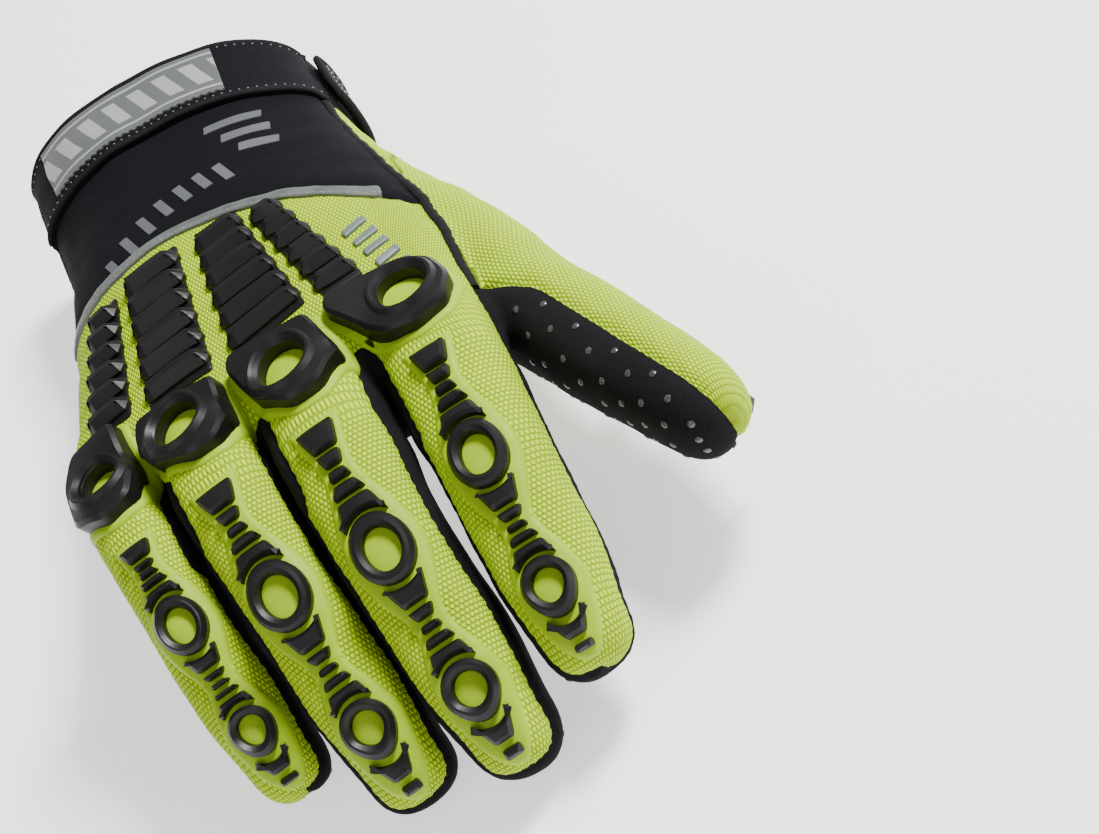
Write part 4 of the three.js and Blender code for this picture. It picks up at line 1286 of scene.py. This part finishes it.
def add_guards(name, turn=0.0):
    """The rings, segments and lime film along a finger or the thumb, one set for each of its parts."""
    chart = finger_chart(name, turn)
    if name == "thumb":
        rings = [(THUMB_REACH[0], 6.0)]
        tip, start, cuts = sum(THUMB_REACH) - 7, 9.0, [THUMB_CUT]
        widths = [5.2]
    else:
        spec = FINGERS[name]
        reach = spec["reach"]
        rings = [(reach[0], spec["rings"][0]), (reach[0] + reach[1], spec["rings"][1])]
        tip, start, cuts = sum(reach) - 4.5, 13.6, list(mid_phalanges(name))
        widths = [0.82 * radius for _, radius in rings]
    studs = [Pile() for _ in range(len(cuts) + 1)]
    part_of = lambda s: sum(s > limit for limit in cuts)
    before = None
    stations = [(start - 3, widths[0] + 1.0)]
    for (middle, radius), width in zip(rings, widths):
        low = start if before is None else before[0] + before[1] + SEGMENT_GAP
        high = middle - radius - SEGMENT_GAP
        arcs = (before and (before[0], before[1] + SEGMENT_GAP), (middle, radius + SEGMENT_GAP))
        ends = (width * (0.85 if before is None else 1.0), width)
        for outline in segment_outlines(low, high, ends, 2.0, arcs, SEGMENT_CUTS):
            studs[part_of(outline[:, 1].mean())].moulded(chart, [outline], guard_profile(STUD_HEIGHT, 0.8))
        ring_loops = [circle((0, middle), radius), circle((0, middle), radius * 0.56)[::-1]]
        studs[part_of(middle)].moulded(chart, ring_loops, guard_profile(RING_HEIGHT, 0.9))
        stations += [((low + high) / 2, 4.0), (middle - radius * 0.9, width + 2.0), (middle, radius + 2.1),
                     (middle + radius * 0.9, width + 2.0)]
        before = (middle, radius)
    low = before[0] + before[1] + SEGMENT_GAP
    arcs = ((before[0], before[1] + SEGMENT_GAP), None)
    tail = segment_outlines(low, tip - 1.5, (widths[-1], 2.2), 2.2, arcs, (0.0, 0.55, 1.0))
    for outline in tail:
        studs[part_of(outline[:, 1].mean())].moulded(chart, [outline], guard_profile(STUD_HEIGHT - 0.4, 0.8))
    stations += [(tip - 2, 3.6), (tip + 1, 1.2)]
    edges = [start - 0.3, *cuts, tip - 0.4]
    for part, pile in enumerate(studs, start=1):
        obj = pile.build(f"{name}_studs_{part}", "rubber")
        film = Pile()
        outline = film_outline(stations, edges[part - 1] - FILM_LAP, edges[part] + FILM_LAP)
        film.moulded(chart, [outline], FILM_PROFILE, spacing=1.8)
        halo = film.build(f"{name}_base_{part}", "film", sharp=60)
        for piece, slot in ((obj, "guard_rubber"), (halo, "lime_knit")):
            attach(piece, name, part, slot, f"{name}_{part}_guard")


for finger in FINGERS:
    add_knuckle_pad(finger)
    add_rib_column(finger)
    add_guards(finger)
add_guards("thumb", turn=THUMB_GUARD_TURN)

# ---------- cuff: strap, label, piping, edgings, prints ----------

STRAP_FROM, STRAP_WIDTH, STRAP_HEIGHT = 1.6, 26.5, 1.7
STRAP_END_HEIGHT = -19.5        # on both sides of the cuff
LABEL_SPAN, LABEL_HEIGHT, LABEL_FROM = (-21, 31), 0.55, 4.2
LABEL_WIDTH, LABEL_TEETH = 20, 52               # one long edge is cut in fine teeth
PRINT_PROFILE = [(0, -0.2), (0.1, 0.22)]
RAISED_PROFILE = [(0, -0.2), (0.1, 0.7), (0.4, 0.9)]


def add_on_hand(pile, name, material, slot, nodes, **settings):
    return attach(pile.build(name, material, **settings), "", 0, slot, *nodes)


def box_outline(u0, u1, v0, v1, radius=1.0, step=2.0):
    return rounded([(u0, v0), (u1, v0), (u1, v1), (u0, v1)], radius, step)


def add_strap():
    chart = Around(mouth_line, -112)
    u0, u1 = chart.ends(STRAP_END_HEIGHT)
    v0, v1 = STRAP_FROM, STRAP_FROM + STRAP_WIDTH
    band = Pile()
    band_profile = [(0, 0.2), (0.2, STRAP_HEIGHT - 0.6), (0.7, STRAP_HEIGHT)]
    band.moulded(chart, [box_outline(u0, u1, v0, v1)], band_profile)
    band = add_on_hand(band, "strap_band", "neoprene", "neoprene", ("wrist_strap",), weave=True)
    edging, stitches = Pile(), Pile()
    for v, inward in ((v0 + 0.7, 1.6), (v1 - 0.7, -1.6)):
        places, normals, _ = trail(chart, [(u0, v), (u1, v)], 1.5)
        edging.cord(places + normals * (STRAP_HEIGHT - 0.4), normals, 1.0, 0.75)
        places, normals, along = trail(chart, [(u0 + 1, v + inward), (u1 - 1, v + inward)], 2.2)
        stitches.beads(places + normals * (STRAP_HEIGHT + 0.02), normals, along, (0.30, 0.19, 0.18))
    add_on_hand(edging, "strap_binding", "binding", "neoprene", ("wrist_strap",), sharp=60)
    add_on_hand(stitches, "strap_stitches", "thread", "neoprene", ("wrist_strap",), sharp=60)
    tag = Pile()
    left, right = LABEL_SPAN
    teeth = [(left + (right - left) * k / LABEL_TEETH, LABEL_FROM + LABEL_WIDTH + 0.45 * (k % 2))
             for k in range(LABEL_TEETH, -1, -1)]
    outline = counter_clockwise([(left, LABEL_FROM), (right, LABEL_FROM), *teeth])
    top = STRAP_HEIGHT + LABEL_HEIGHT
    tag.moulded(chart, [resampled(outline, 1.5)], [(0, STRAP_HEIGHT - 0.3), (0.05, top - 0.15), (0.2, top)])
    tag.weave[0] = tag.weave[0] - ((left + right) / 2, LABEL_FROM + LABEL_WIDTH / 2, 0)
    add_on_hand(tag, "woven_tag", "label", "woven_label", ("strap_label",), weave=True)


def add_piping():
    chart = Around(cuff_seam, -64)
    tape, thread = Pile(), Pile()
    outline = box_outline(-44, 46, -1.8, 1.8, radius=0.4)
    tape.moulded(chart, [outline], [(0, 0.0), (0.15, 0.75), (0.7, 1.15)])
    add_on_hand(tape, "grey_tape", "reflective", "reflective_tape", ("reflective_piping",))
    places, normals, along = trail(chart, [(-43.5, 0.9), (45.5, 0.9)], 2.1)
    thread.beads(places + normals * 1.15, normals, along, (0.52, 0.2, 0.2))
    add_on_hand(thread, "tape_stitches", "thread", "reflective_tape", ("reflective_piping",), sharp=60)


def add_edgings():
    """The black edging between cuff or back and the thumb panel, and the binding round the wrist mouth."""
    y = np.arange(-143.0, 3.0, 1.5)
    seam_x, seam_z = thumb_seam(y)
    targets = np.column_stack([seam_x, y, seam_z])
    centres = np.column_stack([np.full(len(y), -4.0), y, np.full(len(y), -30.0)])
    rays = unit(targets - centres)
    keep = y > mouth_line(targets[:, 0]) + 1
    places, normals = on_skin(centres[keep] + rays[keep] * 80, -rays[keep])
    edging = Pile()
    edging.cord(places + normals * 0.2, normals, 1.25, 0.8)
    add_on_hand(edging, "thumb_seam_edging", "binding", "neoprene", ("thumb_gusset",), sharp=60)
    angles = np.radians(np.arange(0, 360, 3.0))
    rays = np.column_stack([np.cos(angles), 0 * angles, np.sin(angles)])
    x = -2 + 39 * np.cos(angles)
    centres = np.column_stack([np.full(len(x), -2.0), mouth_line(x) + 0.7, np.full(len(x), -26.0)])
    places, normals = on_skin(centres + rays * 70, -rays)
    binding = Pile()
    binding.cord(places - normals * 0.7, normals, 1.7, 1.7, closed=True)
    add_on_hand(binding, "mouth_binding", "binding", "neoprene", ("cuff_back", "cuff_palm"), sharp=60)


def slanted_bar(middle, along, across, length, width, slant):
    """A slanted bar: width is half its width, and slant moves its far end sideways."""
    end = length / 2
    corners = [(-width, -end), (width, -end), (width + slant, end), (-width + slant, end)]
    middle, along, across = np.array(middle), np.array(along), np.array(across)
    return rounded([middle + across * x + along * y for x, y in corners], 0.4)


def add_prints():
    """Plain bars stand in for the printed and raised marks."""
    printed, raised = Pile(), Pile()
    for t in np.linspace(0, 1, 7):
        middle = (19.5 - 34.5 * t, -70.5 - 6.0 * math.sin(math.pi * t * 0.9) - 3.5 * t)
        bar = slanted_bar(middle, (0, 1), (1, 0), 8.5, 1.3, -2.6)
        printed.moulded(back_chart, [bar], PRINT_PROFILE)
    for k in range(3):
        middle = (-22.5 - 2.2 * k, -96 + 7.5 * k)
        bar = slanted_bar(middle, (-1, 0.15), (0.15, 1), 15 - 2.5 * k, 1.7, 2.0)
        printed.moulded(back_chart, [bar], PRINT_PROFILE)
    add_on_hand(printed, "cuff_print", "print", "neoprene", ("cuff_back",))
    for k in range(5):
        middle = (-39.2 - 1.35 * k, -30.2 + 4.9 * k)
        bar = slanted_bar(middle, (1, 0.25), (-0.25, 1), 6.2, 1.15, 1.6)
        raised.moulded(back_chart, [bar], RAISED_PROFILE)
    chart = Around(lambda x: 0 * x, -38)
    for k in range(4):
        bar = slanted_bar((57, -50 + 7.5 * k), (1, 0), (0, 1), 7.5, 1.5, 1.6)
        raised.moulded(chart, [bar], RAISED_PROFILE)
    add_on_hand(raised, "raised_bars", "raised_grey", "guard_rubber", ("back_panel",))


# ---------- closure tab ----------

TAB_TOP, TAB_LENGTH, TAB_NOSE, TAB_HEIGHT = -20.4, 24, 9, 3.0
TAB_FORWARD = 3.2               # the middle of the tab lies this far ahead of the joint's own point


def tab_outline(margin):
    """Outline of the tab in y and z, made smaller by margin."""
    half = STRAP_WIDTH / 2 - 2.2 - margin
    middle = joint_at("strap_tab_peel")[1] + TAB_FORWARD
    low = TAB_TOP - TAB_LENGTH + TAB_NOSE
    angles = np.linspace(math.pi, 2 * math.pi, 15)
    nose = np.column_stack([middle + half * np.cos(angles), low + (TAB_NOSE - margin) * np.sin(angles)])
    corners = np.vstack([nose, [(middle + half, TAB_TOP - margin), (middle - half, TAB_TOP - margin)]])
    return resampled(counter_clockwise(corners), 1.5)


def add_tab():
    face, edge, thread, hooks, loops = Pile(), Pile(), Pile(), Pile(), Pile()
    outline = tab_outline(0.6)
    face.moulded(side_chart, [outline], [(0, 1.5), (0.1, TAB_HEIGHT - 0.5), (0.5, TAB_HEIGHT)])
    places, normals = side_chart(outline)
    edge.cord(places + normals * (TAB_HEIGHT / 2 + 0.8), normals, 1.0, 1.05, closed=True)
    line = tab_outline(2.6)
    places, normals, along = trail(side_chart, np.vstack([line, line[:1]]), 2.2)
    thread.beads(places + normals * TAB_HEIGHT, normals, along, (0.6, 0.28, 0.26))
    hooks.moulded(side_chart, [tab_outline(2.4)], [(0, 0.95), (0.1, 1.2), (0.2, 1.6)])
    loops.moulded(side_chart, [tab_outline(1.6)], [(0, -0.3), (0.1, 0.5), (0.4, 0.7)])
    pieces = (face.build("tab_face", "neoprene", weave=True), edge.build("tab_binding", "binding", sharp=60),
              thread.build("tab_stitches", "thread", sharp=60), hooks.build("tab_hooks", "hooks"))
    for obj in pieces:
        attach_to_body(obj, "closure_tab")
        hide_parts("strap_tab")
    add_on_hand(loops, "loop_patch", "hooks", "neoprene", ("cuff_palm",))


add_strap()
add_piping()
add_edgings()
add_prints()
add_tab()

# ---------- silicone dots on the palm ----------

DOT_PITCH, DOT_SIZE = 7.2, (0.85, 0.85, 0.32)
DOT_LIMIT = -0.3                # no dots where the skin's normal has a larger z than this, but on the thumb
DOT_SNAP = 0.11                 # a dot sits on the nearest point of the skin, if it is this near, in pitches


def dot_points(pick, limit):
    """Points of the skin in a staggered pattern, and their normals."""
    used = np.unique(SKIN_TRIANGLES[pick])
    used = used[~np.isin(used, BORDER_POINTS) & (SKIN_NORMALS[used, 2] < limit)]
    u, v = WEAVE[used, 0] / DOT_PITCH, WEAVE[used, 1] / DOT_PITCH * 1.15
    row = np.round(v)
    column = np.round(u - 0.5 * (row % 2)) + 0.5 * (row % 2)
    away = np.hypot(u - column, v - row)
    order = np.argsort(away)
    _, first = np.unique(np.stack([row, column * 2], 1)[order], axis=0, return_index=True)
    chosen = order[first]
    chosen = used[chosen[away[chosen] < DOT_SNAP]]
    return SKIN_POINTS[chosen], SKIN_NORMALS[chosen]


def add_dots(name, finger, part, pick, node):
    places, normals = dot_points(pick, 1 if finger == "thumb" else DOT_LIMIT)
    if len(places) == 0:
        return
    pile = Pile()
    along = unit(np.cross(normals, [1.0, 0.1, 0.0]))
    pile.beads(places, normals, along, DOT_SIZE)
    attach(pile.build(name, "silicone", sharp=60), finger, part, "palm_suede", node)


BORDER_POINTS = seam_points(SKIN_TRIANGLES, PANEL_OF * 100 + FINGER_OF * 10 + PART_OF, len(SKIN_POINTS))
add_dots("palm_dots", "", 0, (PANEL_OF == PALM) & (PART_OF == 0), "palm_panel")
for index, finger in enumerate([*TUBES, "thumb"]):
    for part in parts_of(finger):
        pick = (PANEL_OF == PALM) & (PART_OF == part) & (FINGER_OF == index)
        add_dots(f"{finger}_dots_{part}", finger, part, pick, f"{finger}_{part}_palm")

# ---------- stage, lights and camera ----------

CAMERA_HEADING, CAMERA_DROP, CAMERA_ROLL = 170.9, 40.4, -40.5     # degrees, in the hand frame
CAMERA_PLACE = (-121.7, 448.1, 327.5)
LENS = 85.2
FLOOR_HALF = 4                  # metres
WORLD_LIGHT = 0.36
LIGHTS_AIM = (0, 0, 0.03)       # metres, in the row frame


def turned(heading, drop, roll):
    """Right, up and back of a camera that looks along a heading from +Y and down by drop."""
    h, d, r = (math.radians(a) for a in (heading, drop, roll))
    forward = np.array([math.sin(h) * math.cos(d), math.cos(h) * math.cos(d), -math.sin(d)])
    right = unit(np.cross(forward, [0, 0, 1]))
    up = np.cross(right, forward)
    return right * math.cos(r) + up * math.sin(r), up * math.cos(r) - right * math.sin(r), -forward


def add_camera():
    camera = bpy.data.objects.new("camera", bpy.data.cameras.new("camera"))
    camera.data.lens = LENS
    axes = np.array(turned(CAMERA_HEADING, CAMERA_DROP, CAMERA_ROLL)) @ AXES
    matrix = Matrix(axes.tolist()).transposed().to_4x4()
    matrix.translation = to_world(CAMERA_PLACE)
    camera.matrix_world = matrix
    bpy.context.scene.collection.objects.link(camera)
    bpy.context.scene.camera = camera


def add_light(name, spot, size, power):
    light = bpy.data.objects.new(name, bpy.data.lights.new(name, "AREA"))
    light.data.energy = power
    light.data.size = size
    light.location = spot
    light.rotation_euler = (Vector(LIGHTS_AIM) - Vector(spot)).to_track_quat("-Z", "Y").to_euler()
    bpy.context.scene.collection.objects.link(light)


def add_stage():
    mesh = bpy.data.meshes.new("floor")
    corners = [(x * FLOOR_HALF, y * FLOOR_HALF, 0) for x, y in ((-1, -1), (1, -1), (1, 1), (-1, 1))]
    mesh.from_pydata(corners, [], [(0, 1, 2, 3)])
    floor = bpy.data.objects.new("floor", mesh)
    nodes = Nodes("pale_floor", (0.93, 0.93, 0.93), 0.9, Emission_Strength=1.0)
    nodes.set("Emission Color", (1, 1, 1, 1))
    mesh.materials.append(nodes.material)
    bpy.context.scene.collection.objects.link(floor)
    world = bpy.data.worlds.new("studio")
    world.use_nodes = True
    world.node_tree.nodes["Background"].inputs["Color"].default_value = (1, 1, 1, 1)
    world.node_tree.nodes["Background"].inputs["Strength"].default_value = WORLD_LIGHT
    bpy.context.scene.world = world


add_camera()
add_stage()
add_light("key", (-0.75, -0.2, 0.95), 0.3, 32)
add_light("fill", (0.6, 0.9, 0.8), 0.9, 4)
